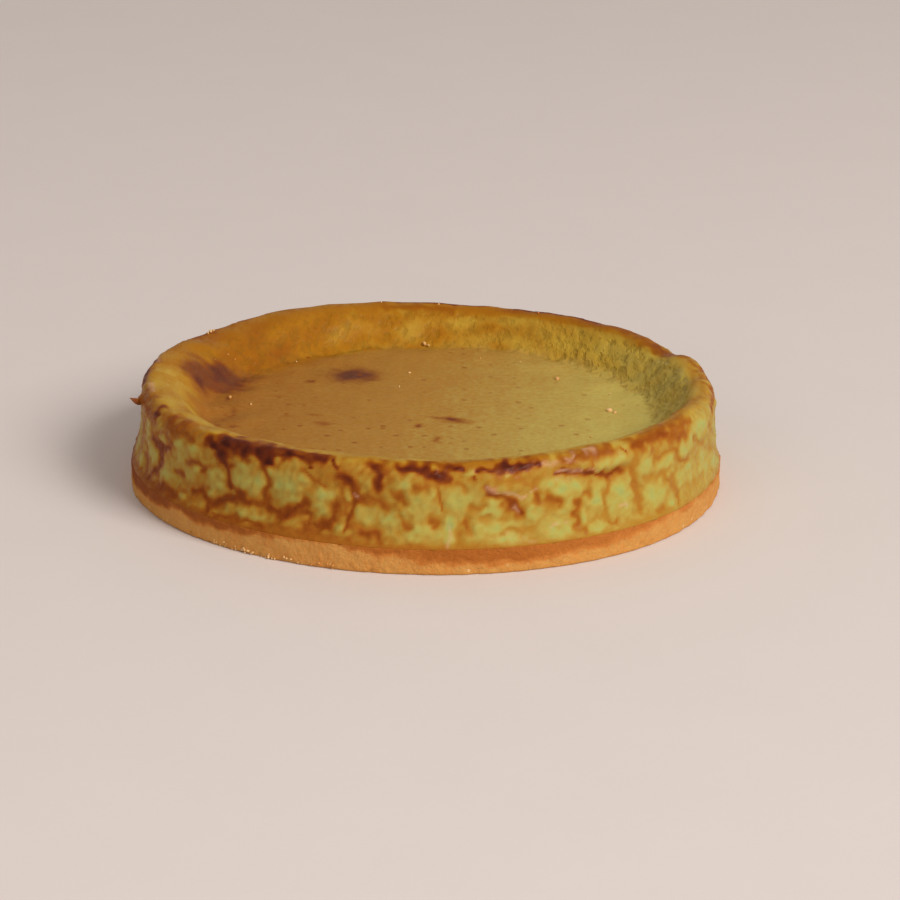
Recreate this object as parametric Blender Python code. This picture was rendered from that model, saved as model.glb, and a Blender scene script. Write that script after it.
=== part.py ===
"""A round baked cheesecake: a green custard with a sunken, browned top, on a biscuit base.

Run it with blender --background --python part.py, or from Blender's text editor.
Metres, +Z up. The origin is the middle of the underside, and the front faces -Y.
Azimuths are counted from +X, towards +Y, in degrees.
"""

import math

import bmesh
import bpy
import numpy as np

MM = 0.001

# How finely the round outlines are divided
COLUMNS = 180
BASE_SIDE_ROWS = 5
SIDE_ROWS = 10
SHOULDER_ROWS = 4
WALL_ROWS = 7
FLOOR_ROWS = 3

# The biscuit base: a pressed disc with a worn lower edge and a rounded upper one
BASE_RADIUS = 119.9 * MM
BASE_HEIGHT = 10.2 * MM
BASE_EDGE_WEAR = 1.0 * MM
BASE_UPPER_INSET = 0.6 * MM
JOINT_GAP = 0.3 * MM

# The custard has shrunk from the tin: its side flares out at the foot, and rolls over a shoulder
FOOT_HEIGHT = BASE_HEIGHT + JOINT_GAP
FOOT_BLEND = 3.0 * MM
SIDE_RADIUS = 116.0 * MM
FLARE = 3.2 * MM
FLARE_REACH = 6.5 * MM
SHOULDER_HEIGHT = 34.0 * MM

# It stands a little further to +X than its base does
LEAN = 0.8 * MM
LEAN_REACH = 10.0 * MM

# The ridge is the highest line of the rim, and the floor is the sunken middle
RIDGE_RADIUS = 110.8 * MM
RIDGE_HEIGHT = 40.8 * MM
FLOOR_RADIUS = 89.0 * MM
FLOOR_HEIGHT = 26.6 * MM
FLOOR_DISH = 0.6 * MM

# Above 1, the rim's crest is broad and the wall falls away further in
CREST_BREADTH = 1.35

# Slow waves round the cake: how many, how large, and the azimuth of a crest
RIDGE_WAVES = ((1, 1.6 * MM, -45), (2, 0.6 * MM, -83), (3, 0.45 * MM, -26), (5, 0.45 * MM, -34))
OUTLINE_WAVES = ((2, 0.35 * MM, 15), (3, 0.3 * MM, 80), (7, 0.15 * MM, 10))
FLOOR_EDGE_WAVES = ((1, 3.0 * MM, 10), (3, 1.2 * MM, 75))

# Single lumps and dips of the ridge: azimuth, half width in degrees, height
RIDGE_LUMPS = (
    (15, 5, 1.9 * MM),
    (26, 6, -1.5 * MM),
    (-22, 5, 0.6 * MM),
    (-90, 6, -0.6 * MM),
    (-59, 8, 0.5 * MM),
    (-10, 6, -0.6 * MM),
    (86, 12, -0.5 * MM),
    (133, 15, 0.9 * MM),
    (124, 12, 0.9 * MM),
    (163, 24, 2.3 * MM),
)

# Rough relief: its usual depth, the size of its bumps, and the seed of its waves
SIDE_BULGE = (0.35 * MM, 12.0 * MM, 11)
RIM_CRAG = (0.18 * MM, 8.0 * MM, 23)
WALL_LUMP = (0.35 * MM, 10.0 * MM, 31)
BASE_CRUMB = (0.12 * MM, 5.0 * MM, 47)
RIPPLE_COUNT = 24

# Folds of slumped custard hang under the rim: azimuth, height, half width in degrees, depth
FOLDS = (
    (-61.5, 36.0 * MM, 4.0, 1.0 * MM),
    (-53.5, 33.5 * MM, 5.0, 1.2 * MM),
    (-75.0, 30.5 * MM, 3.5, 0.8 * MM),
    (118.0, 34.5 * MM, 6.0, 1.0 * MM),
)
FOLD_REACH = 2.5 * MM

# A flake of browned skin stands out from the rim at the left: azimuth, height, half sizes, depth
FLAKE = (-170.5, 36.0 * MM, 1.8, 2.2 * MM, 1.8 * MM)

# A flatter place in the cake's round side at the left, in the same terms
FLATTER = (180.0, 10.0 * MM, 12.0, 26.0 * MM, -2.2 * MM)


def smoothstep(t):
    """0 below 0, 1 above 1, and a smooth rise between."""
    t = np.clip(t, 0.0, 1.0)
    return t * t * (3 - 2 * t)


def waves(azimuth, table):
    """The sum of the table's cosine waves at each azimuth, in radians."""
    return sum(
        size * np.cos(count * (azimuth - math.radians(crest)))
        for count, size, crest in table
    )


def degrees_apart(azimuth, other):
    """The angle in degrees from each azimuth, in radians, to another, in degrees: -180 to 180."""
    return (np.degrees(azimuth) - other + 180) % 360 - 180


def ripples(points, relief):
    """Smooth random relief: plane sine waves in seeded random directions, added up."""
    depth, size, seed = relief
    random = np.random.default_rng(seed)
    directions = random.normal(size=(3, RIPPLE_COUNT))
    directions /= np.linalg.norm(directions, axis=0)
    lengths = size * random.uniform(1.2, 2.8, RIPPLE_COUNT)
    phases = random.uniform(0, math.tau, RIPPLE_COUNT)
    total = np.sin(points @ (math.tau * directions / lengths) + phases).sum(axis=1)
    return depth * total * math.sqrt(2 / RIPPLE_COUNT)


def ridge_lift(azimuth):
    """How far the ridge stands above its mean height at each azimuth."""
    lift = waves(azimuth, RIDGE_WAVES)
    for centre, half_width, height in RIDGE_LUMPS:
        lift += height * np.exp(-((degrees_apart(azimuth, centre) / half_width) ** 2))
    return lift


def fold_push(azimuth, height):
    """How far the folds move the side: out above each fold's line, and in just below it."""
    push = np.zeros_like(azimuth)
    for centre, line, half_width, depth in FOLDS:
        across = np.exp(-((degrees_apart(azimuth, centre) / half_width) ** 4))
        up = (height - line) / FOLD_REACH
        push += depth * across * up * np.exp(0.5 - up * up)
    return push


def swelling(place, azimuth, height):
    """How far the side stands out near a place, as a smooth bell. A negative depth goes in."""
    centre, line, half_width, half_height, depth = place
    across = degrees_apart(azimuth, centre) / half_width
    up = (height - line) / half_height
    return depth * np.exp(-across * across - up * up)


def side_radius(height):
    """The radius of the even side: it settles from the flared foot by an exponential."""
    return SIDE_RADIUS + FLARE * np.exp((FOOT_HEIGHT - height) / FLARE_REACH)


def wall_rise(outward):
    """How far up the wall has risen, 0 to 1, at each share of the way out from the floor to the ridge."""
    return smoothstep(1 - (1 - outward) ** CREST_BREADTH)


def arc(centre, radii, start, end, rows):
    """Points of (radius, height) along an elliptical arc, without its first point."""
    angles = np.radians(np.linspace(start, end, rows + 1)[1:])
    return [
        (centre[0] + radii[0] * math.cos(angle), centre[1] + radii[1] * math.sin(angle))
        for angle in angles
    ]


def base_outline():
    """The biscuit base's half section, from the axis below to the axis above."""
    heights = np.linspace(BASE_EDGE_WEAR, BASE_HEIGHT - BASE_UPPER_INSET, BASE_SIDE_ROWS + 1)
    return [
        (0.0, 0.0),
        (BASE_RADIUS - BASE_EDGE_WEAR, 0.0),
        *((BASE_RADIUS, height) for height in heights),
        (BASE_RADIUS - BASE_UPPER_INSET, BASE_HEIGHT),
        (0.0, BASE_HEIGHT),
    ]


def custard_outline():
    """The custard's half section: out from the axis below, up the side, over the rim, down the dish."""
    heights = np.linspace(FOOT_HEIGHT, SHOULDER_HEIGHT, SIDE_ROWS + 1)
    side = zip(side_radius(heights), heights)
    shoulder = arc(
        (RIDGE_RADIUS, SHOULDER_HEIGHT),
        (side_radius(SHOULDER_HEIGHT) - RIDGE_RADIUS, RIDGE_HEIGHT - SHOULDER_HEIGHT),
        0,
        90,
        SHOULDER_ROWS,
    )
    outward = np.linspace(1, 0, WALL_ROWS + 1)[1:]
    wall = zip(
        FLOOR_RADIUS + (RIDGE_RADIUS - FLOOR_RADIUS) * outward,
        FLOOR_HEIGHT + (RIDGE_HEIGHT - FLOOR_HEIGHT) * wall_rise(outward),
    )
    outward = np.linspace(1, 0, FLOOR_ROWS + 1)[1:]
    floor = zip(FLOOR_RADIUS * outward, FLOOR_HEIGHT - FLOOR_DISH * (1 - outward**2))
    return [(0.0, FOOT_HEIGHT), *side, *shoulder, *wall, *floor]


def base_shape(points):
    """The even base made uneven: its side is crumbly, and both its flat faces stay flat."""
    azimuth = np.arctan2(points[:, 1], points[:, 0])
    radius = np.hypot(points[:, 0], points[:, 1])
    at_edge = smoothstep((radius / BASE_RADIUS - 0.95) / 0.03)
    uneven = waves(azimuth, OUTLINE_WAVES) + ripples(points, BASE_CRUMB)
    radius += at_edge * (uneven + swelling(FLATTER, azimuth, points[:, 2]))
    return np.column_stack((radius * np.cos(azimuth), radius * np.sin(azimuth), points[:, 2]))


def custard_shape(points):
    """The even custard made uneven, as it slumped and set in the tin. Its underside stays flat."""
    azimuth = np.arctan2(points[:, 1], points[:, 0])
    radius = np.hypot(points[:, 0], points[:, 1])
    height = points[:, 2]
    above_foot = smoothstep((height - FOOT_HEIGHT) / FOOT_BLEND)
    risen = smoothstep((height - FLOOR_HEIGHT) / (RIDGE_HEIGHT - FLOOR_HEIGHT))
    on_top = smoothstep((height - SHOULDER_HEIGHT) / (RIDGE_HEIGHT - SHOULDER_HEIGHT))
    on_side = smoothstep((radius - RIDGE_RADIUS) / (SIDE_RADIUS - RIDGE_RADIUS))
    outer = smoothstep((radius - 0.6 * FLOOR_RADIUS) / (0.4 * FLOOR_RADIUS))
    in_dish = smoothstep((RIDGE_RADIUS - radius) / (RIDGE_RADIUS - FLOOR_RADIUS) * 2)
    in_dish *= outer * above_foot

    side = ripples(points, SIDE_BULGE) + fold_push(azimuth, height) + swelling(FLAKE, azimuth, height)
    out = outer * waves(azimuth, OUTLINE_WAVES) + on_side * above_foot * side
    out += on_side * swelling(FLATTER, azimuth, height)
    out += in_dish * waves(azimuth, FLOOR_EDGE_WAVES)
    out += LEAN * np.cos(azimuth) * outer * smoothstep((height - FOOT_HEIGHT) / LEAN_REACH)
    up = risen * (ridge_lift(azimuth) + on_top * ripples(points, RIM_CRAG))
    up += in_dish * ripples(points, WALL_LUMP)
    radius += out
    return np.column_stack((radius * np.cos(azimuth), radius * np.sin(azimuth), height + up))


def food_material(name, colour, roughness):
    """A plain baked surface."""
    material = bpy.data.materials.new(name)
    material.use_nodes = True
    shader = material.node_tree.nodes["Principled BSDF"]
    shader.inputs["Base Color"].default_value = (*colour, 1)
    shader.inputs["Roughness"].default_value = roughness
    shader.inputs["Metallic"].default_value = 0.0
    return material


def turned(name, outline):
    """A closed mesh turned from a half section that starts and ends on the axis."""
    mesh = bmesh.new()
    line = [mesh.verts.new((radius, 0, height)) for radius, height in outline]
    edges = [mesh.edges.new(pair) for pair in zip(line, line[1:])]
    bmesh.ops.spin(
        mesh,
        geom=line + edges,
        cent=(0, 0, 0),
        axis=(0, 0, 1),
        angle=math.tau,
        steps=COLUMNS,
    )
    bmesh.ops.remove_doubles(mesh, verts=mesh.verts, dist=0.01 * MM)
    bmesh.ops.recalc_face_normals(mesh, faces=mesh.faces)
    bmesh.ops.triangulate(mesh, faces=mesh.faces)
    data = bpy.data.meshes.new(name)
    mesh.to_mesh(data)
    mesh.free()
    return data


def make_solid(name, outline, shape, material):
    """One closed body, turned from its outline and then made uneven by its shape function."""
    data = turned(name, outline)
    points = np.empty(3 * len(data.vertices))
    data.vertices.foreach_get("co", points)
    data.vertices.foreach_set("co", shape(points.reshape(-1, 3)).ravel())
    data.update()
    data.shade_smooth()
    data.set_sharp_from_angle(angle=math.radians(50))
    data.materials.append(material)
    solid = bpy.data.objects.new(name, data)
    bpy.context.scene.collection.objects.link(solid)


def main():
    for old in list(bpy.data.objects):
        bpy.data.objects.remove(old)
    make_solid(
        "biscuit_base",
        base_outline(),
        base_shape,
        food_material("baked_biscuit", (0.55, 0.26, 0.09), 0.85),
    )
    make_solid(
        "custard",
        custard_outline(),
        custard_shape,
        food_material("green_custard", (0.36, 0.29, 0.06), 0.45),
    )


main()
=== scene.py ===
"""The looks of a round baked cheesecake: green custard, browned where it touched the tin, on a biscuit base.

Lengths in the tables are millimetres and angles are degrees, counted from +X towards +Y.
The front faces -Y. The frame and the finished meshes are in metres.
"""

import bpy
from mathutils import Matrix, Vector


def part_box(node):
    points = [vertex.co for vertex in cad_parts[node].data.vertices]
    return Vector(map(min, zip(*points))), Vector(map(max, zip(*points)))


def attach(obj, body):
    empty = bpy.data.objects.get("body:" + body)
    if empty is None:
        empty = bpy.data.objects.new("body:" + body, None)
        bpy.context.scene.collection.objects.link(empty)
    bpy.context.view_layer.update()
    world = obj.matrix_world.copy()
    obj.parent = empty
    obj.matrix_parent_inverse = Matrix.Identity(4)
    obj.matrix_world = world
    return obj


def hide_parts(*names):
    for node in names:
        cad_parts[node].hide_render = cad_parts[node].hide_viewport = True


bl_info = {
    "name": "Baked Cheesecake",
    "version": (1, 0, 0),
    "blender": (4, 5, 0),
    "location": "View3D > Sidebar > Cheesecake",
    "description": "Builds the custard, biscuit base, crumbs and studio of a baked cheesecake",
    "category": "Add Mesh",
}

import math

import bpy
import numpy as np
from bpy.props import FloatProperty, FloatVectorProperty, IntProperty, PointerProperty
from mathutils import Matrix

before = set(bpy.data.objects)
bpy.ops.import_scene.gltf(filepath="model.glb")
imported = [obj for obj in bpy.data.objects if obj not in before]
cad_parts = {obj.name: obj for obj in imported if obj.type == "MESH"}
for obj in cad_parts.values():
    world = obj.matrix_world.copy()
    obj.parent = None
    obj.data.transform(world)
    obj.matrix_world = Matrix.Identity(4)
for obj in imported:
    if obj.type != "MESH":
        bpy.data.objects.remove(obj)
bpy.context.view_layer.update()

MM = 0.001
BASE_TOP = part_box("biscuit_base")[1].z / MM
CUSTARD_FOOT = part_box("custard")[0].z / MM

# The same slow waves as the solids have: how many go round, size, crest's azimuth
RIDGE_WAVES = ((1, 1.6, -45), (2, 0.6, -83), (3, 0.45, -26), (5, 0.45, -34))
OUTLINE_WAVES = ((2, 0.35, 15), (3, 0.3, 80), (7, 0.15, 10))
FLOOR_EDGE_WAVES = ((1, 3.0, 10), (3, 1.2, 75))

# Peaks and dips of the ridge: azimuth, half width in degrees, height
RIDGE_LUMPS = (
    (15, 5, 1.9), (26, 6, -1.5), (-22, 5, 0.6), (-90, 6, -0.6),
    (-59, 8, 0.5), (-10, 6, -0.6), (86, 12, -0.5), (133, 15, 0.9), (124, 12, 0.9), (163, 24, 2.3),
)

# Folds in the side: azimuth, height of the line, half width in degrees, depth
FOLDS = (
    (-61.5, 36.0, 4.0, 1.0),
    (-53.5, 33.5, 5.0, 1.2),
    (-75.0, 30.5, 3.5, 0.8),
    (118.0, 34.5, 6.0, 1.0),
)

# How far above and below its line a fold reaches
FOLD_REACH = 2.5

# How broad the rim's crest is: the wall rises as 1 - (1 - t) ** CREST_BREADTH before it is smoothed
CREST_BREADTH = 1.35

# Swelling under the flake, and a flatter place in the side: azimuth, height, half width, half height, depth
FLAKE = (-170.5, 36.0, 1.8, 2.2, 1.8)
FLATTER = (180.0, 10.0, 12.0, 26.0, -2.2)

# The solids' rippled relief, and below it the finer relief that only these surfaces have:
# usual depth, size of the bumps, seed
SIDE_BULGE = (0.35, 12.0, 11)
RIM_CRAG = (0.18, 8.0, 23)
WALL_LUMP = (0.35, 10.0, 31)
BASE_CRUMB = (0.12, 5.0, 47)
BLISTERS = ((0.10, 2.2, 81), (0.05, 1.1, 82))
BURNT_LUMPS = (0.5, 2.8, 83)
WRINKLES = ((1.0, 2.8, 86), (0.4, 2.0, 88))
WRINKLE_BEND_ALONG = (0.8, 5.0, 84)
WRINKLE_BEND_INWARD = (0.6, 5.0, 87)
FLOOR_SKIN = (0.05, 3.0, 85)
BISCUIT_GRAINS = ((0.06, 1.6, 91), (0.04, 0.9, 92))
BISCUIT_CHIPS = (1.0, 2.6, 93)

# How many sine waves add up to one relief
RIPPLE_COUNT = 24

# How many rings make the custard's side, shoulder and wall, and the biscuit's side and its rounded edges
SIDE_RINGS = 31
SHOULDER_RINGS = 13
WALL_RINGS = 37
BISCUIT_RINGS = 15
WORN_EDGE_RINGS = 4
UPPER_EDGE_RINGS = 7

# Ripples that make the colours uneven, in the same terms
SHIFT_ALONG = (1.0, 3.2, 61)
SHIFT_UP = (1.0, 3.0, 63)
BACK_SHIFT_ALONG = (1.0, 13.0, 62)
BACK_SHIFT_UP = (1.0, 11.0, 64)
FLOOR_RIM = (1.0, 7.0, 65)
SIDE_TONES = ((0.035, 4.5, 66), (0.03, 1.8, 75))
FOOT_EDGE = (0.4, 3.0, 67)
STROKE_SWELL = (0.25, 2.6, 68)
WALL_TONE = (0.022, 9.0, 69)
MARK_SHIFT_X = (0.9, 4.0, 71)
MARK_SHIFT_Y = (0.9, 4.0, 72)
PATCH_TONE = (0.04, 3.5, 74)
CHAR_TONE = (0.04, 2.8, 77)
MOIST_PLACES = (1.0, 5.0, 89)
TOAST_RAGGED = ((0.25, 1.6, 94), (0.5, 5.0, 95))

# How far the fine ripples shift the marks on the side and on the rim, and the slow ones those at the back
SIDE_SHIFT = 0.4
RIM_SHIFT = 0.3
BACK_SHIFT = (3.0, 1.8)

# Faint browned net between the patches: size of its cells, length after which it repeats, seed, browning
NET_SIZE = 5.0
NET_LENGTH = 400.0
NET_SEED = 76
NET_BROWNING = 0.05

# How much less browned the pale patches are, and the height where the upper edge's browning starts
PATCH_PALER = 0.2
UPPER_EDGE = 33.0

# The wall's mean radius, for lengths along it, and how much browner its crest is at the right,
# from a radius on
WALL_RADIUS = 100.0
CREST_BROWNING = 0.2
CREST_RADIUS = 101.0

# How brown the sunken top is in the middle, and how much that changes towards its right, where it is paler,
# and towards its back
TOP_BROWNING = (0.29, -0.18, 0.04)

# How far the matt skin of the top climbs up the wall all round, and how much further at the front left
MATT_CLIMB = 3.0
MATT_CLIMB_LEFT = 10.0

# Browning under which the side bulges, and over which skin is lumpy and burnt
BULGE_BELOW = 0.55
BURNT_ABOVE = 0.8

# Where the wrinkles are: azimuth of the middle, steepness and offset as in facing, strength
WRINKLED_BACK = (100, 1.8, 0.3, 0.75)
WRINKLED_RIGHT = (11.5, 2.0, 0.6, 1.0)

# How much longer the wrinkles are along the wall than across it
WRINKLE_STRETCH = 1.6

# Browning on the side, seen at the front and mirrored to the back:
# how brown it is, half width, and the line it follows as (azimuth, height)
SIDE_STROKES = (
    (0.62, 2.2, ((-178, 36), (-173.1, 34.1), (-165.4, 36.3), (-157.9, 35.6))),
    (0.84, 1.3, ((-157.6, 38.3), (-156, 37.9))),
    (0.66, 2.6, ((-151, 40), (-149.1, 37.2), (-146.7, 36.5))),
    (0.60, 1.8, ((-149.9, 34), (-147.7, 32.8))),
    (0.55, 0.9, ((-154.8, 32.2), (-150.6, 33.4))),
    (0.74, 2.0, ((-156.2, 28.3), (-152.5, 27), (-148.5, 30))),
    (0.72, 1.7, ((-152.5, 26.7), (-152.1, 21.8), (-152.9, 17.7), (-155, 15.1))),
    (0.55, 2.6, ((-165.2, 30.9), (-163.2, 25), (-165.8, 18.1))),
    (0.62, 2.2, ((-160.8, 18.7), (-159.2, 14.7), (-158, 12.2))),
    (0.64, 1.3, ((-145.8, 21), (-143.1, 20.5))),
    (0.66, 1.2, ((-141.6, 27), (-138.5, 28.9), (-135.9, 27.4), (-137.7, 26))),
    (0.70, 1.6, ((-139.6, 16.8), (-136.9, 17.8), (-134.7, 15.5), (-134.2, 11.9))),
    (0.68, 2.0, ((-150.4, 12.6), (-147.1, 14), (-144.9, 12.5))),
    (0.55, 1.4, ((-143.8, 17.4), (-141.5, 15.4), (-139.9, 14.2))),
    (0.62, 2.4, ((-146, 40), (-144.4, 38.2), (-141, 36.9))),
    (0.83, 1.2, ((-137.2, 38.5), (-135, 37.6))),
    (0.81, 1.7, ((-134.5, 38.5), (-132.5, 35.2), (-130.9, 31.8))),
    (0.74, 1.3, ((-130.6, 31.2), (-130.1, 26.1), (-129.6, 22.7))),
    (0.62, 1.0, ((-129.5, 23.6), (-127.4, 22.3))),
    (0.72, 1.8, ((-133, 15.8), (-130.3, 18.1), (-127.1, 21.3), (-124.5, 18.9))),
    (0.62, 1.4, ((-124.5, 18.9), (-121.9, 20.7), (-120.4, 23.3))),
    (0.66, 1.2, ((-121.2, 33.4), (-120.6, 27.5), (-121.4, 23.6))),
    (0.66, 1.0, ((-132.5, 12.2), (-127.2, 12.5), (-121, 11.9))),
    (0.72, 2.1, ((-120.4, 19.3), (-117.4, 17.7), (-115.8, 18.9), (-113.4, 22.2))),
    (0.66, 1.8, ((-113.5, 22.7), (-111.5, 19.6), (-111.8, 15), (-108.5, 16.2))),
    (0.68, 1.7, ((-108.5, 16.2), (-106.8, 19), (-106.2, 24.2))),
    (0.60, 1.2, ((-113.4, 36.5), (-111.2, 33.6), (-108.7, 30.5))),
    (0.48, 2.6, ((-110.5, 38), (-108.2, 34.8), (-106.4, 33.4))),
    (0.88, 0.7, ((-111.9, 38), (-111.4, 37.6))),
    (0.80, 2.0, ((-105.3, 35.7), (-103.6, 33.1))),
    (0.56, 1.1, ((-105.7, 33), (-105, 27.7), (-104.9, 22))),
    (0.70, 1.2, ((-103.2, 29.4), (-102.7, 27.1), (-103.6, 23.1), (-104.3, 18.4), (-104.4, 14.7))),
    (0.66, 1.6, ((-102.5, 28.1), (-101.4, 26.7))),
    (0.84, 2.1, ((-99.2, 40), (-98, 37.6), (-98.6, 34.5))),
    (0.60, 1.9, ((-100.6, 28.7), (-98.1, 27.2), (-96.9, 24.8))),
    (0.60, 1.3, ((-94.8, 30.2), (-93.8, 26.8))),
    (0.66, 1.9, ((-101.9, 15.2), (-98, 14.9), (-97.7, 12.7))),
    (0.55, 1.2, ((-91.9, 34.3), (-90.5, 32.3), (-89.4, 34.6))),
    (0.57, 1.0, ((-87.2, 33.1), (-87.3, 28.7), (-87, 25))),
    (0.60, 1.3, ((-89, 21.3), (-87.2, 20.1), (-88.2, 18.5))),
    (0.60, 1.4, ((-93.8, 20.7), (-92.6, 18.2))),
    (0.53, 1.0, ((-84, 35), (-82.5, 33.6))),
    (0.51, 1.2, ((-81.4, 25.2), (-79.2, 25.9))),
    (0.57, 1.4, ((-82.5, 20.6), (-82, 17.6))),
    (0.50, 1.4, ((-83, 16.2), (-83.2, 12))),
    (0.42, 1.2, ((-79.4, 20.6), (-77.6, 21.7))),
    (0.69, 1.1, ((-78.1, 33.7), (-77.2, 30.9))),
    (0.63, 1.1, ((-76.8, 30.4), (-75, 29.3), (-73.1, 26.4))),
    (0.71, 2.0, ((-73.8, 26.3), (-72.7, 24.1), (-71.1, 21.9))),
    (0.44, 0.8, ((-75.8, 15.5), (-71.9, 16.2), (-69.5, 16.6))),
    (0.50, 1.6, ((-76.5, 37), (-72.5, 35.6), (-69.3, 33.2))),
    (0.78, 0.5, ((-80.6, 37), (-80.3, 36.4))),
    (0.65, 1.5, ((-68.8, 29.2), (-68.3, 27.3))),
    (0.50, 1.0, ((-69.1, 34.5), (-68.7, 29.8))),
    (0.63, 1.3, ((-66.4, 27.4), (-65, 26.5), (-63.8, 24.9))),
    (0.75, 0.9, ((-64.6, 35.6), (-62, 36.4), (-59.4, 35.2), (-57.4, 34.9))),
    (0.73, 1.1, ((-57.3, 34.8), (-54.8, 33.5), (-51.9, 31.7), (-49.9, 33.4))),
    (0.76, 0.7, ((-63.2, 37.6), (-62, 36.6))),
    (0.61, 1.3, ((-60.3, 25.1), (-59.9, 22.2), (-61.3, 20.2), (-60.3, 18.6), (-60.3, 15.2))),
    (0.53, 1.0, ((-58.5, 27.1), (-57.6, 26.9))),
    (0.51, 1.0, ((-60.5, 13.2), (-58.7, 13.5), (-58.8, 11.6))),
    (0.55, 1.0, ((-53, 13.8), (-51.3, 12.9))),
    (0.55, 0.9, ((-57.1, 37.8), (-57.2, 35.5))),
    (0.51, 1.6, ((-48.2, 33), (-46.6, 29.7), (-46.6, 25.8))),
    (0.51, 1.9, ((-46.6, 25.8), (-45.6, 20), (-44.7, 16.1))),
    (0.46, 1.0, ((-52.7, 30.4), (-54.3, 23.8), (-53.7, 16.9))),
    (0.44, 1.3, ((-46.7, 34.8), (-45.8, 38), (-43.2, 38.2))),
    (0.51, 1.2, ((-40.2, 33), (-37.7, 34.2), (-34.7, 34.3), (-33.9, 33.1))),
    (0.53, 0.9, ((-33.9, 33.1), (-33.4, 30.4), (-32.1, 28), (-28.7, 26.9))),
    (0.42, 1.5, ((-44.4, 27.7), (-40.3, 26.3), (-37.1, 27.3))),
    (0.50, 1.9, ((-37.5, 24.3), (-34.8, 20.2), (-34, 17), (-33.9, 13.4))),
    (0.50, 1.0, ((-40.5, 12.7), (-38.7, 12.7))),
    (0.46, 1.2, ((-26.6, 34.2), (-23, 30.3), (-20.4, 28.6))),
    (0.36, 1.6, ((-31.4, 17.5), (-27.5, 16.4), (-22, 16.1))),
    (0.44, 1.3, ((-18, 35), (-15, 30), (-12, 27))),
    (0.40, 1.4, ((-16.2, 23.4), (-9, 19), (-6, 14))),
    (0.42, 1.3, ((-8, 34), (-4, 30), (0, 29))),
)

# Browning along the rim all the way round. The height runs on past the ridge, as the way in from it
RIM_STROKES = (
    (0.90, 3.0, ((-133, 39.8), (-130, 39.2), (-126, 39.4), (-121.5, 39.6))),
    (0.89, 1.9, ((-122.4, 38.6), (-120.2, 37.4))),
    (0.83, 1.2, ((-121, 40.6), (-115, 40.8), (-109.5, 41))),
    (0.88, 0.8, ((-107.6, 40.6), (-106.4, 39.3))),
    (0.85, 1.3, ((-94.8, 40.2), (-91.5, 40.1), (-88, 39.8))),
    (0.87, 1.9, ((-88.6, 38.6), (-86.4, 38.2))),
    (0.74, 1.0, ((-86, 36.4), (-85.2, 37))),
    (0.86, 1.0, ((-85.5, 40.2), (-83, 40.3))),
    (0.87, 1.4, ((-76.2, 40.3), (-72.5, 40.5), (-68, 40.3))),
    (0.82, 0.9, ((-80.2, 39.8), (-77, 40))),
    (0.83, 0.8, ((-74, 39.2), (-70.5, 39.2))),
    (0.62, 1.7, ((-63, 40.6), (-57, 41.4), (-51.5, 41.6))),
    (0.80, 0.6, ((-49.4, 41), (-48.8, 40.4))),
    (0.50, 1.6, ((-86, 41.6), (-76, 41.8), (-66, 41.6))),
    (0.66, 1.8, ((-46.5, 40.8), (-41, 41.2), (-36, 41.4))),
    (0.62, 2.4, ((-35.4, 39.6), (-33, 38.2), (-30.6, 38.3))),
    (0.60, 1.2, ((-33.4, 41.6), (-29.5, 41.8), (-26.5, 41.2))),
    (0.66, 1.5, ((-13, 37.4), (-2, 38.4), (10, 39.6), (22, 40.6), (30, 40.6))),
    (0.60, 2.6, ((18, 42), (28, 42.5), (40, 42), (52, 42.5))),
    (0.52, 2.8, ((50, 42), (65, 43), (80, 44.5), (95, 45))),
    (0.58, 1.6, ((84, 46), (92, 45.5), (100, 46))),
    (0.84, 0.8, ((44, 39.8), (58, 40.2), (70, 39.8))),
    (0.78, 0.8, ((76, 40), (92, 40.3), (104, 39.7))),
    (0.50, 2.6, ((104, 45), (118, 46), (128, 47))),
    (0.66, 1.0, ((118, 40), (128, 40.2), (136, 39.5))),
    (0.66, 1.2, ((146, 40.6), (152, 39.8))),
    (0.84, 1.1, ((-178, 38.6), (-180, 39))),
    (0.84, 1.1, ((180, 39), (171, 40.2))),
    (0.60, 1.4, ((-170, 38), (-164, 39.2))),
)

# Thin pale films of lifted skin on the side, partly painted highlights where light glints on it: strength,
# half width, line
FILMS_AND_GLINTS = (
    (0.60, 0.45, ((-76.6, 31.4), (-73.2, 30.7), (-71.2, 28.6))),
    (0.50, 0.45, ((-73.2, 24.4), (-72.5, 23))),
    (0.50, 0.60, ((-78, 33.7), (-76.9, 32.2))),
    (0.65, 0.40, ((-64.8, 36.3), (-62, 37))),
    (0.55, 0.40, ((-61.5, 36.8), (-59.4, 35.7))),
    (0.50, 0.35, ((-57.6, 36.4), (-55.8, 35.6))),
    (0.50, 0.50, ((-50.4, 19.3), (-48.8, 19))),
    (0.50, 0.40, ((-65.8, 16.1), (-62.6, 17.1))),
    (0.35, 0.50, ((-85.1, 18.1), (-85.4, 10.4))),
    (0.45, 0.35, ((-103.1, 29), (-102.6, 28.4))),
    (0.40, 0.40, ((-69.9, 30.2), (-68.6, 31.4))),
    (0.55, 0.60, ((-61.8, 41.2), (-60.4, 41.6))),
    (0.50, 0.50, ((-57.4, 42.2), (-55.6, 42.4))),
    (0.40, 0.50, ((-67, 40.2), (-64.8, 40.6))),
    (0.45, 0.45, ((-172.6, 41), (-170.2, 40.2), (-167.6, 40.8))),
)

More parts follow.
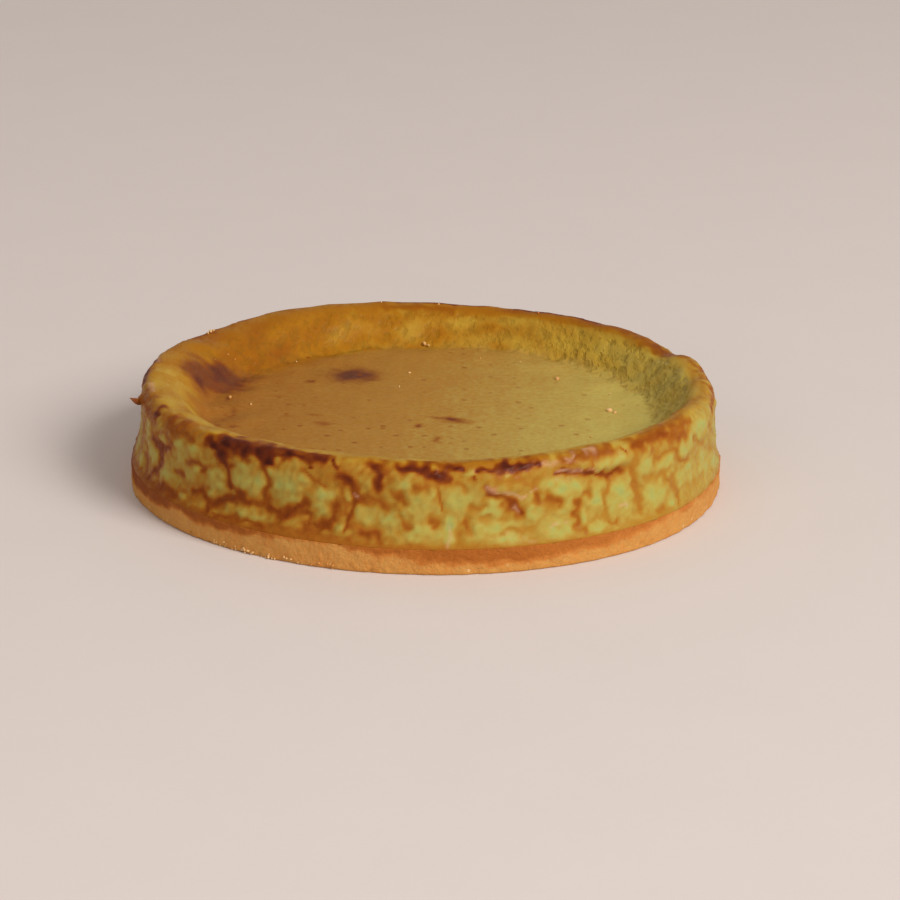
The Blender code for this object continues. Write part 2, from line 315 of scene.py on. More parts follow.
# Pale patches of the side between the browned lines: azimuth, height, half width in degrees, half height
PALE_PATCHES = (
    (-177, 24, 2, 6), (-170.2, 21, 1.6, 6), (-173, 15, 2, 3), (-158.6, 30, 1.7, 3.6),
    (-157.7, 23.7, 1.4, 3), (-151.8, 30.8, 1.6, 1.4), (-155.2, 22, 1.7, 3), (-161.8, 16, 1.9, 3.1),
    (-148.3, 17.5, 2.5, 2.7), (-144.4, 33, 2.2, 2.2), (-143.9, 29.2, 1.9, 3.2), (-140.1, 32.3, 2.3, 2.1),
    (-142.1, 23.7, 1.6, 3.4), (-138.9, 26.2, 0.9, 1.2), (-133, 24.7, 2.7, 4), (-134.5, 17.7, 1.1, 2),
    (-143, 17.9, 1.5, 1.5), (-141.5, 13.5, 1.5, 1), (-126.8, 27.8, 2.6, 4), (-126.7, 31.6, 1.8, 2.4),
    (-122.9, 26.9, 1.6, 4.6), (-121.3, 32.5, 1.3, 1.8), (-123.4, 16.2, 2.4, 2.6),
    (-126.1, 14.1, 1.3, 1.6), (-116.5, 27.7, 3.3, 6.6), (-113, 33.5, 1.4, 1.9), (-109.2, 22.3, 1.2, 4.6),
    (-108.5, 27.5, 1.6, 2.6), (-105.9, 16.4, 1.1, 2.2), (-104.4, 24.8, 0.8, 4.6), (-100.9, 21.7, 2, 4.1),
    (-93.9, 35, 1.3, 2.7), (-96.2, 19.2, 1.7, 4), (-90.5, 25.5, 2.9, 4.5), (-90.2, 15.8, 3.4, 3.3),
    (-88.9, 31.7, 0.9, 1.6), (-83.3, 28.6, 2.7, 5.6), (-85, 18.6, 1, 5), (-85.3, 14.3, 1, 2.8),
    (-80, 17.1, 2.3, 2.9), (-77.1, 24.8, 2.2, 3.8), (-75.4, 17.7, 4.2, 2.1), (-74.4, 12.6, 2.4, 2),
    (-74.8, 37, 1.3, 1.2), (-81.4, 38.6, 1.6, 1), (-66.8, 32.3, 1.2, 2.4), (-62, 29.7, 3.1, 3.8),
    (-69.5, 22.1, 1.6, 3), (-62.6, 23.2, 1.9, 2.8), (-64.8, 15, 3.3, 4.5), (-54.5, 24.6, 3.4, 5.8),
    (-50.4, 22.3, 2.8, 7), (-59.1, 17.5, 0.7, 2), (-56.2, 13, 2.4, 1.9), (-51.3, 13.4, 1.5, 1.6),
    (-52.5, 37, 3, 1.9), (-43.4, 38.5, 1.8, 1.9), (-43.4, 31.6, 2.3, 4), (-37, 30, 3.1, 3.6),
    (-41.1, 20.2, 3.3, 5), (-35.9, 14.3, 1.6, 2), (-30.5, 33.8, 3.4, 5), (-29.3, 21.2, 4, 5),
    (-22.9, 34.7, 2.4, 4.5), (-20.5, 19.7, 3.4, 5), (-13, 31, 3, 4), (-12, 18, 3, 4.4), (-5, 34, 2.4, 3),
    (-4, 23, 3, 4.4), (-7, 13.5, 2.6, 1.8), (0, 17, 2, 3),
)

# Browning between the patches by azimuth: of the side, of its upper edge and of its foot
SIDE_BROWNING = ((-180, 0.38), (-150, 0.38), (-120, 0.37), (-90, 0.34), (-60, 0.31), (0, 0.27))
UPPER_BROWNING = (
    (-180, 0.48), (-150, 0.46), (-138, 0.44), (-130, 0.34), (-120, 0.32), (-110, 0.38), (-100, 0.40),
    (-90, 0.35), (-80, 0.36), (-70, 0.38), (-60, 0.32), (-48, 0.28), (-38, 0.36), (-31, 0.40),
    (-25, 0.22), (0, 0.24),
)

# Browning of the wall inside the rim by azimuth, and of the side's foot with the height that it reaches
WALL_BROWNING = (
    (-180, 0.41), (-150, 0.40), (-90, 0.40), (-45, 0.36), (-10, 0.22), (10, 0.20), (30, 0.25),
    (48, 0.34), (70, 0.41), (92, 0.45), (118, 0.48), (145, 0.56), (160, 0.48), (180, 0.40),
)
FOOT_BROWNING = ((-180, 0.60), (-120, 0.58), (-100, 0.53), (-80, 0.50), (-60, 0.42), (-30, 0.40), (0, 0.36))
FOOT_BROWNING_HEIGHT = (
    (-180, 14.0), (-165, 13.6), (-160, 12.2), (-155, 13.4), (-150, 14.4), (-145, 13.2), (-140, 12.2),
    (-130, 11.8), (-124, 11.7), (-120, 13.8), (-115, 14.4), (-110, 14), (-105, 13), (-100, 12.4),
    (-90, 12.0), (-80, 11.4), (-60, 11.2), (-50, 12), (-45, 12.4), (-40, 11.6), (-35, 11.2), (0, 11.0),
)

# Marks on the sunken top: x, y, half width across, half depth, browning, greyness
TOP_MARKS = (
    (-30.3, 48.1, 8.0, 7.0, 0.78, 1.0), (-24, 46, 4, 3, 0.6, 0.5), (-99.7, 15.4, 3, 5, 0.60, 0.4),
    (-96.4, 15.1, 3.5, 5, 0.66, 0.5), (-95.7, 19.4, 4, 5, 0.68, 0.6), (-93.3, 25.5, 4.5, 5, 0.70, 0.6),
    (-89.6, 28.9, 5, 5, 0.72, 0.6), (-86.8, 32.1, 5, 5, 0.70, 0.6), (-82.7, 37.1, 5, 5, 0.66, 0.5),
    (-80.2, 39.8, 5, 5, 0.60, 0.4), (-76.3, 44.3, 5, 4, 0.54, 0.3), (-85.2, 26.3, 6, 4, 0.66, 0.5),
    (-82, 26.3, 5, 3, 0.60, 0.4), (-89.6, 23.1, 5, 4, 0.68, 0.5), (-88.9, 31.6, 2.6, 3.4, 0.82, 0.5),
    (-82.8, 32.6, 2.4, 2.6, 0.76, 0.5), (-95.8, 14.5, 1.2, 2.6, 0.82, 0.4), (-85.5, 36.6, 4, 2, 0.74, 0.5),
    (-84, 14, 0.9, 5, 0.64, 0.2), (-82.5, -11, 0.8, 5, 0.62, 0.1), (-79, -4, 0.9, 4, 0.58, 0.1),
    (-47.9, 38.1, 1.6, 1.6, 0.74, 0.3), (-60.9, 17.9, 1.3, 1.6, 0.58, 0.1),
    (-77.5, -26.6, 1.5, 1.5, 0.80, 0.3),
    (-45.7, -6, 2, 1.6, 0.52, 0), (-56.4, -9, 1.6, 1.4, 0.52, 0), (-40.6, -17.6, 3, 2.2, 0.56, 0.1),
    (9.8, -8.9, 2.4, 2.0, 0.86, 0.4), (13, -11.5, 3.4, 2.4, 0.60, 0.2), (6, -7, 3, 2, 0.56, 0.1),
    (-2.2, -19, 1.6, 1.4, 0.76, 0.2), (5, -34.6, 1.5, 3, 0.56, 0.1), (-61, 67, 12, 5, 0.52, 0.1),
)

# Where the browned band of the biscuit starts: azimuth, height
TOAST_EDGE = (
    (-180, 5.0), (-165, 5.0), (-150, 5.4), (-146, 6.5), (-143, 7.6), (-141, 8.8), (-139, 7.0),
    (-135, 6.2), (-126, 6.8), (-120, 9.0), (-105, 9.6), (-103, 8.0), (-100, 7.2), (-95, 6.4),
    (-90, 5.0), (-86, 4.4), (-80, 4.2), (-75, 4.0), (-55, 4.8), (-50, 5.8), (-46, 7.0),
    (-41, 8.0), (-36, 8.8), (-25, 9.2), (0, 9.4),
)

# How far the custard's foot is sunk into the biscuit, so that no gap shows between them
SUNK = 0.6

# Stray crumbs on the top: x, y, size
CRUMBS = (
    (-1, 92, 2.6), (1, 91, 1.4), (55, 46, 2.0), (75, 4, 2.6), (77, 1, 1.8), (-80, 12, 2.4), (-71, 4, 1.5),
    (-83, 47, 1.6), (-80, 48, 1.3), (-55, 64, 1.2), (-64, 60, 1.0), (-7, 52, 1.3), (23, 74, 1.0),
    (-88, 38, 1.2), (-11, 33, 0.9), (40, 70, 0.9), (66, -30, 0.9), (76, 27, 0.8), (-91, 60.5, 1.7),
    (-90, 62.5, 1.3), (-92, 58.5, 1.1), (-20, 108, 1.2), (5, 109, 1.3), (48, 98, 1.2),
)

# Loose grains along the foot of the base: how many, and between which azimuths
FOOT_GRAINS = 60
FOOT_GRAIN_ARC = (-140, -106)

# The flake of skin: how far it stands out, half its height at its root, half its thickness, how far it
# bends up and sideways, and its divisions along and across
FLAKE_LENGTH = 4.2
FLAKE_HALF_HEIGHT = 1.5
FLAKE_THICKNESS = 0.42
FLAKE_BEND_UP = 1.3
FLAKE_BEND_ASIDE = 0.8
FLAKE_ROWS = 17
FLAKE_COLUMNS = 9

# The soft lights: name, the property that holds its power, side in metres, azimuth, elevation,
# distance in metres, colour
LIGHTS = (
    ("key_light", "key_power", 1.9, -42, 36, 4.0, (255, 246, 236)),
    ("fill_light", "fill_power", 1.2, -115, 25, 2.2, (255, 244, 232)),
)
ROOM_COLOUR = (255, 243, 232)


def screen(red, green, blue):
    """A colour given as it looks on a screen, 0 to 255, as the linear values that Blender uses."""
    return tuple(
        value / 255 / 12.92 if value <= 10 else ((value / 255 + 0.055) / 1.055) ** 2.4
        for value in (red, green, blue)
    )


def length(name, description, default):
    """A size in metres that a user may change, with its default in millimetres."""
    return FloatProperty(name=name, description=description, default=default * MM, unit="LENGTH")


def rotation(name, description, default):
    """An angle in radians that a user may change, with its default in degrees."""
    return FloatProperty(name=name, description=description, default=math.radians(default), unit="ROTATION")


def light_power(name, description, default):
    """A light's power in watts that a user may change."""
    return FloatProperty(name=name, description=description, default=default, unit="POWER")


def share(name, description, default):
    """A plain number from 0 to 1 that a user may change."""
    return FloatProperty(name=name, description=description, default=default, min=0, max=1, subtype="FACTOR")


def colour(name, description, red, green, blue):
    """A colour that a user may change, with its default as it looks on a screen."""
    return FloatVectorProperty(
        name=name,
        description=description,
        default=screen(red, green, blue),
        size=3,
        min=0,
        max=1,
        subtype="COLOR",
    )


class CakeSizes(bpy.types.PropertyGroup):
    """The even shape under the uneven one: the section that is turned round the cake's axis."""

    columns: IntProperty(name="Columns", description="Divisions round the cake", default=960)
    base_radius: length("Base radius", "Outer radius of the biscuit base", 119.9)
    base_wear: length("Base edge wear", "How far the lower edge is worn away", 1.0)
    base_inset: length("Base upper inset", "How far the upper edge leans in", 0.25)
    side_radius: length("Side radius", "The custard's radius below the shoulder", 116.0)
    flare: length("Flare", "How much wider the custard is at its foot", 3.7)
    flare_reach: length("Flare reach", "Height over which the flare settles", 6.5)
    foot_blend: length("Foot blend", "Height over which the side's relief sets in", 3.0)
    lean: length("Lean", "How much further to +X the custard stands than its base", 0.8)
    lean_reach: length("Lean reach", "Height over which the custard leans", 10.0)
    shoulder_height: length("Shoulder height", "Where the side starts to roll over", 34.0)
    ridge_radius: length("Ridge radius", "Radius of the highest line of the rim", 110.8)
    ridge_height: length("Ridge height", "Mean height of the highest line of the rim", 40.8)
    floor_radius: length("Floor radius", "Radius of the sunken middle", 89.0)
    floor_height: length("Floor height", "Height of the sunken middle's edge", 26.6)
    floor_dish: length("Floor dish", "How much lower the very middle is", 0.6)
    bulge: length("Patch bulge", "How far the green patches stand out of the browned lines", 0.45)
    wrinkle: length("Wrinkle depth", "Depth of the wrinkled skin inside the rim", 0.13)
    char_crust: length("Char crust", "Roughness of the burnt rim", 0.35)


class CustardFinish(bpy.types.PropertyGroup):
    """Colours of the custard, from raw to burnt, and how it shines."""

    green: colour("Green", "Unbrowned custard at the side", 158, 164, 90)
    pale: colour("Pale green", "Custard that is hardly browned", 168, 160, 80)
    lime: colour("Yellow green", "Custard that is a little browned", 171, 151, 70)
    olive: colour("Olive", "Custard just starting to brown", 168, 138, 59)
    golden: colour("Golden", "Golden brown custard", 164, 121, 41)
    brown: colour("Brown", "Browned lines", 156, 97, 27)
    russet: colour("Russet", "The middles of the browned lines", 134, 68, 14)
    dark: colour("Dark brown", "Strongly browned skin", 103, 42, 16)
    char: colour("Char", "Burnt skin", 66, 24, 15)
    wall_olive: colour("Wall olive", "The wall inside the rim, least browned", 188, 172, 86)
    wall_yellow: colour("Wall yellow", "The wall, a little browned", 188, 156, 57)
    wall_golden: colour("Wall golden", "The wall, golden brown", 163, 110, 20)
    wall_brown: colour("Wall brown", "The wall, browned", 138, 74, 8)
    skin_pale: colour("Pale skin", "Matt skin of the sunken top, least browned", 188, 175, 92)
    skin_tan: colour("Tan skin", "Matt skin of the sunken top, half browned", 169, 126, 54)
    skin_brown: colour("Brown skin", "Matt skin of the sunken top, most browned", 154, 100, 34)
    # Painted shade: a dark colour laid into the bottoms of the wall's creases, where shade falls
    crease: colour("Crease", "The bottoms of the creases in the wall", 104, 82, 24)
    # Partly real lifted skin and partly a painted highlight: the pale films also stand for glints of light on
    # the side
    film: colour("Film", "Thin pale skin that lifts off the side", 208, 166, 134)
    ash: colour("Ash", "Greyish purple of the darkest marks on the top", 84, 58, 52)
    roughness: share("Roughness", "Roughness of the satin skin", 0.42)
    translucency: share("Translucency", "How much light passes through the surface", 0.08)


class BiscuitFinish(bpy.types.PropertyGroup):
    """Colours of the biscuit base."""

    pale: colour("Pale biscuit", "Biscuit crumb at the lower edge", 203, 148, 76)
    warm: colour("Warm biscuit", "Biscuit crumb between pale and toasted", 192, 120, 50)
    toasted: colour("Toasted biscuit", "The browned upper band", 166, 94, 27)
    deep: colour("Deeply toasted biscuit", "The browned band at the left", 136, 66, 14)
    speck: colour("Biscuit specks", "The palest crumbs", 240, 205, 150)
    roughness: share("Roughness", "Roughness of the dry crumb", 0.8)


class StudioLook(bpy.types.PropertyGroup):
    """The floor, the lights and the camera."""

    floor_colour: colour("Floor", "The pale floor", 222, 216, 216)
    key_power: light_power("Key light", "Power of the soft light", 141.0)
    fill_power: light_power("Fill light", "Power of the front light", 5.0)
    sky_strength: FloatProperty(name="Room light", description="Strength of the even light", default=0.42)
    lens: FloatProperty(name="Lens", description="Focal length in millimetres", default=136.0, unit="CAMERA")
    camera_distance: length("Camera distance", "From the cake's axis, along the floor", 1313.8)
    camera_height: length("Camera height", "Above the floor", 448.9)
    camera_pitch: rotation("Camera pitch", "How far it looks down", 18.474)
    camera_turn: rotation("Camera turn", "How far it looks to the right", 0.45)
    camera_roll: rotation("Camera roll", "How far its right side is raised", 1.18)


def in_millimetres(sizes, *names):
    """The named sizes in millimetres."""
    return [getattr(sizes, name) / MM for name in names]


def smoothstep(t):
    """0 below 0, 1 above 1, and a smooth rise between."""
    t = np.clip(t, 0.0, 1.0)
    return t * t * (3 - 2 * t)


def facing(azimuth, centre, steepness, offset):
    """1 round an azimuth and 0 away from it: a smooth rise of cos(azimuth - centre) * steepness - offset."""
    return smoothstep(np.cos(np.radians(azimuth - centre)) * steepness - offset)


def turned_out(radius, azimuth, height):
    """Points from their radii, azimuths in degrees and heights."""
    angle = np.radians(azimuth)
    return np.column_stack((radius * np.cos(angle), radius * np.sin(angle), height))


def waves(azimuth, table):
    """The sum of the table's cosine waves (count, size, crest) at each azimuth in degrees."""
    return sum(size * np.cos(np.radians(count * (azimuth - crest))) for count, size, crest in table)


def wall_rise(outward):
    """How far up the wall has risen, 0 to 1, at each share of the way out from the floor to the ridge."""
    return smoothstep(1 - (1 - np.clip(outward, 0, 1)) ** CREST_BREADTH)


def degrees_apart(azimuth, other):
    """The angle from each azimuth to another, from -180 to 180 degrees."""
    return (azimuth - other + 180) % 360 - 180


def ripples(points, relief):
    """Smooth random relief: plane sine waves in seeded random directions, added up.

    relief is the usual depth, the size of its bumps, and the seed, in the points' own unit."""
    depth, size, seed = relief
    random = np.random.default_rng(seed)
    directions = random.normal(size=(3, RIPPLE_COUNT))
    directions /= np.linalg.norm(directions, axis=0)
    lengths = size * random.uniform(1.2, 2.8, RIPPLE_COUNT)
    phases = random.uniform(0, math.tau, RIPPLE_COUNT)
    total = np.sin(points @ (math.tau * directions / lengths) + phases).sum(axis=1)
    return depth * total * math.sqrt(2 / RIPPLE_COUNT)


def ridge_lift(azimuth):
    """How far the ridge stands above its mean height at each azimuth."""
    lift = waves(azimuth, RIDGE_WAVES)
    for centre, half_width, height in RIDGE_LUMPS:
        lift += height * np.exp(-((degrees_apart(azimuth, centre) / half_width) ** 2))
    return lift


def fold_push(azimuth, height):
    """How far the folds move the side: out above each fold's line, and in just below it."""
    push = np.zeros_like(azimuth)
    for centre, line, half_width, depth in FOLDS:
        across = np.exp(-((degrees_apart(azimuth, centre) / half_width) ** 4))
        up = (height - line) / FOLD_REACH
        push += depth * across * up * np.exp(0.5 - up * up)
    return push


def swelling(place, azimuth, height):
    """How far the side stands out near a place, as a smooth bell. A negative depth goes in."""
    centre, line, half_width, half_height, depth = place
    across = degrees_apart(azimuth, centre) / half_width
    up = (height - line) / half_height
    return depth * np.exp(-across * across - up * up)


def painted(tone, along, up, strokes, swell):
    """Tones after strokes have been painted over them, where they are browner.

    Each stroke is (browning, half width, line). It covers 0.5 ** ((distance / half width) ** 1.9) of what is
    under it, where the half width is times the swell there."""
    tone = tone.copy()
    for browning, half_width, line in strokes:
        xs, ys = np.array(line).T
        reach = 3 * half_width
        near = (along > xs.min() - reach) & (along < xs.max() + reach)
        near &= (up > ys.min() - reach) & (up < ys.max() + reach)
        here_along, here_up = along[near], up[near]
        nearest = np.full_like(here_along, np.inf)
        for (x0, y0), (x1, y1) in zip(line, line[1:]):
            dx, dy = x1 - x0, y1 - y0
            t = np.clip(((here_along - x0) * dx + (here_up - y0) * dy) / (dx * dx + dy * dy), 0, 1)
            nearest = np.minimum(nearest, np.hypot(here_along - x0 - t * dx, here_up - y0 - t * dy))
        cover = 0.5 ** ((nearest / (half_width * swell[near])) ** 1.9)
        tone[near] += cover * np.maximum(browning - tone[near], 0)
    return tone


def unrolled(strokes, scale):
    """Strokes whose azimuths have become arc lengths, at a scale in millimetres for each degree."""
    return [(browning, width, [(x * scale, y) for x, y in line]) for browning, width, line in strokes]


def patch_cover(along, up, patches):
    """How far round patches cover a surface, 0 to 1: the greatest 0.5 ** (distance ** 4) over them.

    The distance is 1 on a patch's outline. along and the patches' azimuths are in degrees."""
    cover = np.zeros_like(along)
    for centre, height, half_width, half_height in patches:
        near = (np.abs(along - centre) < 2 * half_width) & (np.abs(up - height) < 2 * half_height)
        distance = np.hypot((along[near] - centre) / half_width, (up[near] - height) / half_height)
        cover[near] = np.maximum(cover[near], 0.5 ** (distance**4))
    return cover


def cell_edges(along, up, size, length, seed):
    """The difference between the distances to the second nearest and the nearest of scattered points.

    It is 0 on the edges between their cells. There is one point in each square of a grid, and the grid
    closes on itself after the length."""
    columns = round(length / size)
    rows = int(np.ceil(up.max() / size)) + 3
    random = np.random.default_rng(seed)
    spread = random.uniform(0.08, 0.92, (columns, rows, 2))
    x, y = along / length * columns, up / size + 1
    i, j = np.floor(x).astype(int), np.floor(y).astype(int)
    first = np.full_like(along, np.inf)
    second = np.full_like(along, np.inf)
    for di in (-1, 0, 1):
        for dj in (-1, 0, 1):
            offset = spread[(i + di) % columns, np.clip(j + dj, 0, rows - 1)]
            distance = np.hypot(i + di + offset[:, 0] - x, j + dj + offset[:, 1] - y)
            second = np.minimum(second, np.maximum(first, distance))
            first = np.minimum(first, distance)
    return (second - first) * size


class Rings:
    """Rings of points stacked along a section, for a closed surface turned round the axis.

    Each ring has a radius, a height and a number of columns. A ring may have half as many columns as the
    one before it. The first and last rings close on single points on the axis."""

    def __init__(self, radii, heights, columns):
        self.radii = np.asarray(radii, float)
        self.heights = np.asarray(heights, float)
        self.columns = np.asarray(columns, int)
        self.starts = np.concatenate(([0], np.cumsum(self.columns)))
        self.ring = np.repeat(np.arange(len(self.columns)), self.columns)
        self.azimuth = np.concatenate([np.arange(n) / n * 360 - 180 for n in self.columns])
        self.radius = self.radii[self.ring]
        self.height = self.heights[self.ring]

    def normals(self):
        """The section's outward normal at each point, as (outward, upward) parts."""
        run = np.gradient(self.radii)
        rise = np.gradient(self.heights)
        size = np.hypot(run, rise)
        return (rise / size)[self.ring], (-run / size)[self.ring]

    def faces(self):
        """Triangles between neighbouring rings, then a fan onto each of the two last points."""
        pole_low = self.starts[-1]
        pole_high = pole_low + 1
        made = []
        for k in range(len(self.columns) - 1):
            n = self.columns[k]
            here, there = self.starts[k], self.starts[k + 1]
            i = np.arange(n)
            if self.columns[k + 1] == n:
                a, b = here + i, here + (i + 1) % n
                c, d = there + (i + 1) % n, there + i
                made += [np.column_stack((a, b, c)), np.column_stack((a, c, d))]
            else:
                j = np.arange(n // 2)
                a, b, c = here + 2 * j, here + 2 * j + 1, here + (2 * j + 2) % n
                d, e = there + j, there + (j + 1) % (n // 2)
                made += [np.column_stack(corners) for corners in ((a, b, d), (b, e, d), (b, c, e))]
        low = np.arange(self.columns[0])
        made.append(np.column_stack((low * 0 + pole_low, (low + 1) % self.columns[0], low)))
        high = np.arange(self.columns[-1])
        last = self.starts[-2]
        after = last + (high + 1) % self.columns[-1]
        made.append(np.column_stack((last + high, after, high * 0 + pole_high)))
        return np.concatenate(made)


def add_piece(name, points, faces, attributes, material, replaced=None):
    """A piece on the body "root" from arrays of points, in metres, and triangles."""
    if not np.isfinite(points).all():
        raise RuntimeError(f"{name} has points that aren't numbers")
    mesh = bpy.data.meshes.new(name)
    mesh.from_pydata(points.tolist(), [], faces.tolist())
    for key, values in attributes.items():
        mesh.attributes.new(key, "FLOAT", "POINT").data.foreach_set("value", values.astype(np.float32))
    mesh.shade_smooth()
    mesh.materials.append(material)
    if mesh.validate():
        raise RuntimeError(f"{name} has faces that Blender had to mend")
    piece = bpy.data.objects.new(name, mesh)
    bpy.context.scene.collection.objects.link(piece)
    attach(piece, "root")
    if replaced:
        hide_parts(replaced)
    return piece


class Paint:
    """A material's node tree, with short calls for the nodes that these finishes use."""

    def __init__(self, name):
        self.material = bpy.data.materials.new(name)
        self.material.use_nodes = True
        self.tree = self.material.node_tree
        self.shader = self.tree.nodes["Principled BSDF"]

    def node(self, kind, **settings):
        node = self.tree.nodes.new(kind)
        for key, value in settings.items():
            setattr(node, key, value)
        return node

    def feed(self, socket, value):
        """Links a socket to another, or sets its value."""
        if isinstance(value, bpy.types.NodeSocket):
            self.tree.links.new(value, socket)
        else:
            socket.default_value = value

    def attribute(self, name):
        return self.node("ShaderNodeAttribute", attribute_name=name).outputs["Fac"]

    def place(self):
        return self.node("ShaderNodeTexCoord").outputs["Object"]

    def maths(self, operation, first, second=0.5, third=0.5):
        node = self.node("ShaderNodeMath", operation=operation)
        for socket, value in zip(node.inputs, (first, second, third)):
            self.feed(socket, value)
        return node.outputs[0]

    def ranged(self, value, low, high, new_low=0.0, new_high=1.0):
        """A value carried smoothly from one range to another, and held at its ends."""
        node = self.node("ShaderNodeMapRange", interpolation_type="SMOOTHSTEP")
        for socket, number in zip(node.inputs, (value, low, high, new_low, new_high)):
            self.feed(socket, number)
        return node.outputs[0]

    def noise(self, size, detail=3.0, roughness=0.55, warp=0.0, stretch=None):
        """Noise from 0 to 1 whose bumps are about a size in metres."""
        node = self.node("ShaderNodeTexNoise")
        place = self.place()
        if stretch:
            mapping = self.node("ShaderNodeMapping")
            mapping.inputs["Scale"].default_value = stretch
            self.feed(mapping.inputs["Vector"], place)
            place = mapping.outputs[0]
        self.feed(node.inputs["Vector"], place)
        node.inputs["Scale"].default_value = 1 / size
        node.inputs["Detail"].default_value = detail
        node.inputs["Roughness"].default_value = roughness
        node.inputs["Distortion"].default_value = warp
        return node.outputs["Fac"]

    def cells(self, size, feature="F1"):
        """A Voronoi pattern with cells of about a size in metres: its distance and its cell colour."""
        node = self.node("ShaderNodeTexVoronoi", feature=feature)
        self.feed(node.inputs["Vector"], self.place())
        node.inputs["Scale"].default_value = 1 / size
        return node.outputs["Distance"], node.outputs.get("Color")

    def mix(self, amount, first, second, blend="MIX"):
        node = self.node("ShaderNodeMix", data_type="RGBA", blend_type=blend)
        self.feed(node.inputs["Factor"], amount)
        sockets = [socket for socket in node.inputs if socket.type == "RGBA"]
        for socket, value in zip(sockets, (first, second)):
            self.feed(socket, value if isinstance(value, bpy.types.NodeSocket) else (*value, 1))
        return next(socket for socket in node.outputs if socket.type == "RGBA")

    def ramp(self, value, stops):
        """Colours along a value: stops are (place, colour)."""
        node = self.node("ShaderNodeValToRGB")
        stop_list = node.color_ramp.elements
        while len(stop_list) < len(stops):
            stop_list.new(0.5)
        for element, (place, tone) in zip(stop_list, stops):
            element.position = place
            element.color = (*tone, 1)
        self.feed(node.inputs[0], value)
        return node.outputs["Color"]

    def bump(self, height, depth):
        """Feeds the shader's normal from a height from 0 to 1 that stands for a depth in metres."""
        node = self.node("ShaderNodeBump")
        node.inputs["Strength"].default_value = 1.0
        node.inputs["Distance"].default_value = depth
        self.feed(node.inputs["Height"], height)
        self.feed(self.shader.inputs["Normal"], node.outputs[0])


def custard_material(finish):
    """Browning by the "browning" attribute, with fine mottling, painted shade in the creases, pale films with
    painted glints, and freckles.

    The side runs from green to burnt. The wall inside the rim and the matt top have colours of their own."""
    paint = Paint("custard_skin")
    browning = paint.attribute("browning")
    dull = paint.attribute("dull")
    walled = paint.attribute("walled")
    wrinkled = paint.attribute("wrinkled")
    long_grain = paint.noise(0.0022, detail=4, roughness=0.62, stretch=(1, 0.4, 1))
    round_grain = paint.noise(0.0022, detail=4, roughness=0.62)
    grain = paint.maths("MULTIPLY_ADD", paint.maths("SUBTRACT", round_grain, long_grain), dull, long_grain)
    mottle = paint.noise(0.009, detail=3, roughness=0.6, warp=0.6, stretch=(1, 0.5, 1))
    calm = paint.maths("MULTIPLY_ADD", paint.maths("SUBTRACT", walled, dull), -0.45, 1.0)
    grain_shift = paint.maths("MULTIPLY", paint.maths("MULTIPLY_ADD", grain, 0.17, -0.085), calm)
    mottle_shift = paint.maths("MULTIPLY", paint.maths("MULTIPLY_ADD", mottle, 0.12, -0.06), calm)
    shift = paint.maths("ADD", browning, paint.maths("ADD", grain_shift, mottle_shift))
    side = paint.ramp(
        shift,
        (
            (0.0, finish.green),
            (0.1, finish.pale),
            (0.19, finish.lime),
            (0.3, finish.olive),
            (0.42, finish.golden),
            (0.54, finish.brown),
            (0.66, finish.russet),
            (0.79, finish.dark),
            (0.94, finish.char),
        ),
    )
    wall = paint.ramp(
        shift,
        (
            (0.14, finish.wall_olive),
            (0.32, finish.wall_yellow),
            (0.47, finish.wall_golden),
            (0.62, finish.wall_brown),
            (0.79, finish.dark),
            (0.94, finish.char),
        ),
    )
    matt = paint.ramp(
        shift,
        (
            (0.1, finish.skin_pale),
            (0.29, finish.skin_tan),
            (0.47, finish.skin_brown),
            (0.66, finish.russet),
            (0.85, finish.dark),
        ),
    )
    tone = paint.mix(walled, side, wall)
    tone = paint.mix(dull, tone, matt)
    # Painted shade: the tone darkens towards the crease colour in the furrows and low places of the wrinkles
    furrow_bump_and_shade = paint.ranged(paint.noise(0.003, detail=2, stretch=(1, 0.5, 1)), 0.55, 0.35)
    furrow_bump_and_shade = paint.maths("MULTIPLY", furrow_bump_and_shade, wrinkled)
    crease = paint.maths("MULTIPLY", furrow_bump_and_shade, 0.26)
    crease = paint.maths("MULTIPLY_ADD", paint.attribute("crease"), 0.16, crease)
    tone = paint.mix(crease, tone, finish.crease)
    tone = paint.mix(paint.attribute("ash"), tone, finish.ash)
    # Pale films of lifted skin, partly painted highlights: a pale pinkish colour where light glints on the
    # side
    tone = paint.mix(paint.attribute("film"), tone, finish.film)
    distance, cell = paint.cells(0.0055)
    chance = paint.node("ShaderNodeSeparateColor")
    paint.feed(chance.inputs[0], cell)
    reach = paint.ranged(chance.outputs[0], 0.5, 1.0, 0.0, 0.24)
    freckle = paint.ranged(paint.maths("SUBTRACT", distance, reach), 0.08, -0.06)
    freckle = paint.maths("MULTIPLY", freckle, paint.attribute("freckles"))
    freckle = paint.maths("MULTIPLY", freckle, paint.ranged(chance.outputs[2], 0.0, 1.0, 0.15, 0.7))
    tone = paint.mix(freckle, tone, finish.russet)
    paint.feed(paint.shader.inputs["Base Color"], tone)
    rough = paint.ranged(grain, 0.3, 0.7, finish.roughness - 0.1, finish.roughness + 0.12)
    rough = paint.maths("MULTIPLY_ADD", dull, 0.14, rough)
    rough = paint.maths("MULTIPLY_ADD", paint.attribute("moist"), -0.16, rough)
    rough = paint.maths("MULTIPLY_ADD", paint.attribute("film"), -0.15, rough)
    paint.feed(paint.shader.inputs["Roughness"], rough)
    paint.shader.inputs["Specular IOR Level"].default_value = 0.08
    paint.shader.inputs["Subsurface Weight"].default_value = finish.translucency
    paint.shader.inputs["Subsurface Radius"].default_value = (1.0, 0.7, 0.25)
    paint.shader.inputs["Subsurface Scale"].default_value = 0.0016
    fine = paint.noise(0.0011, detail=3, roughness=0.6)
    height = paint.maths("MULTIPLY", paint.maths("MULTIPLY_ADD", fine, 0.5, grain), calm)
    paint.bump(paint.maths("MULTIPLY_ADD", furrow_bump_and_shade, -2.0, height), 0.00014)
    return paint.material


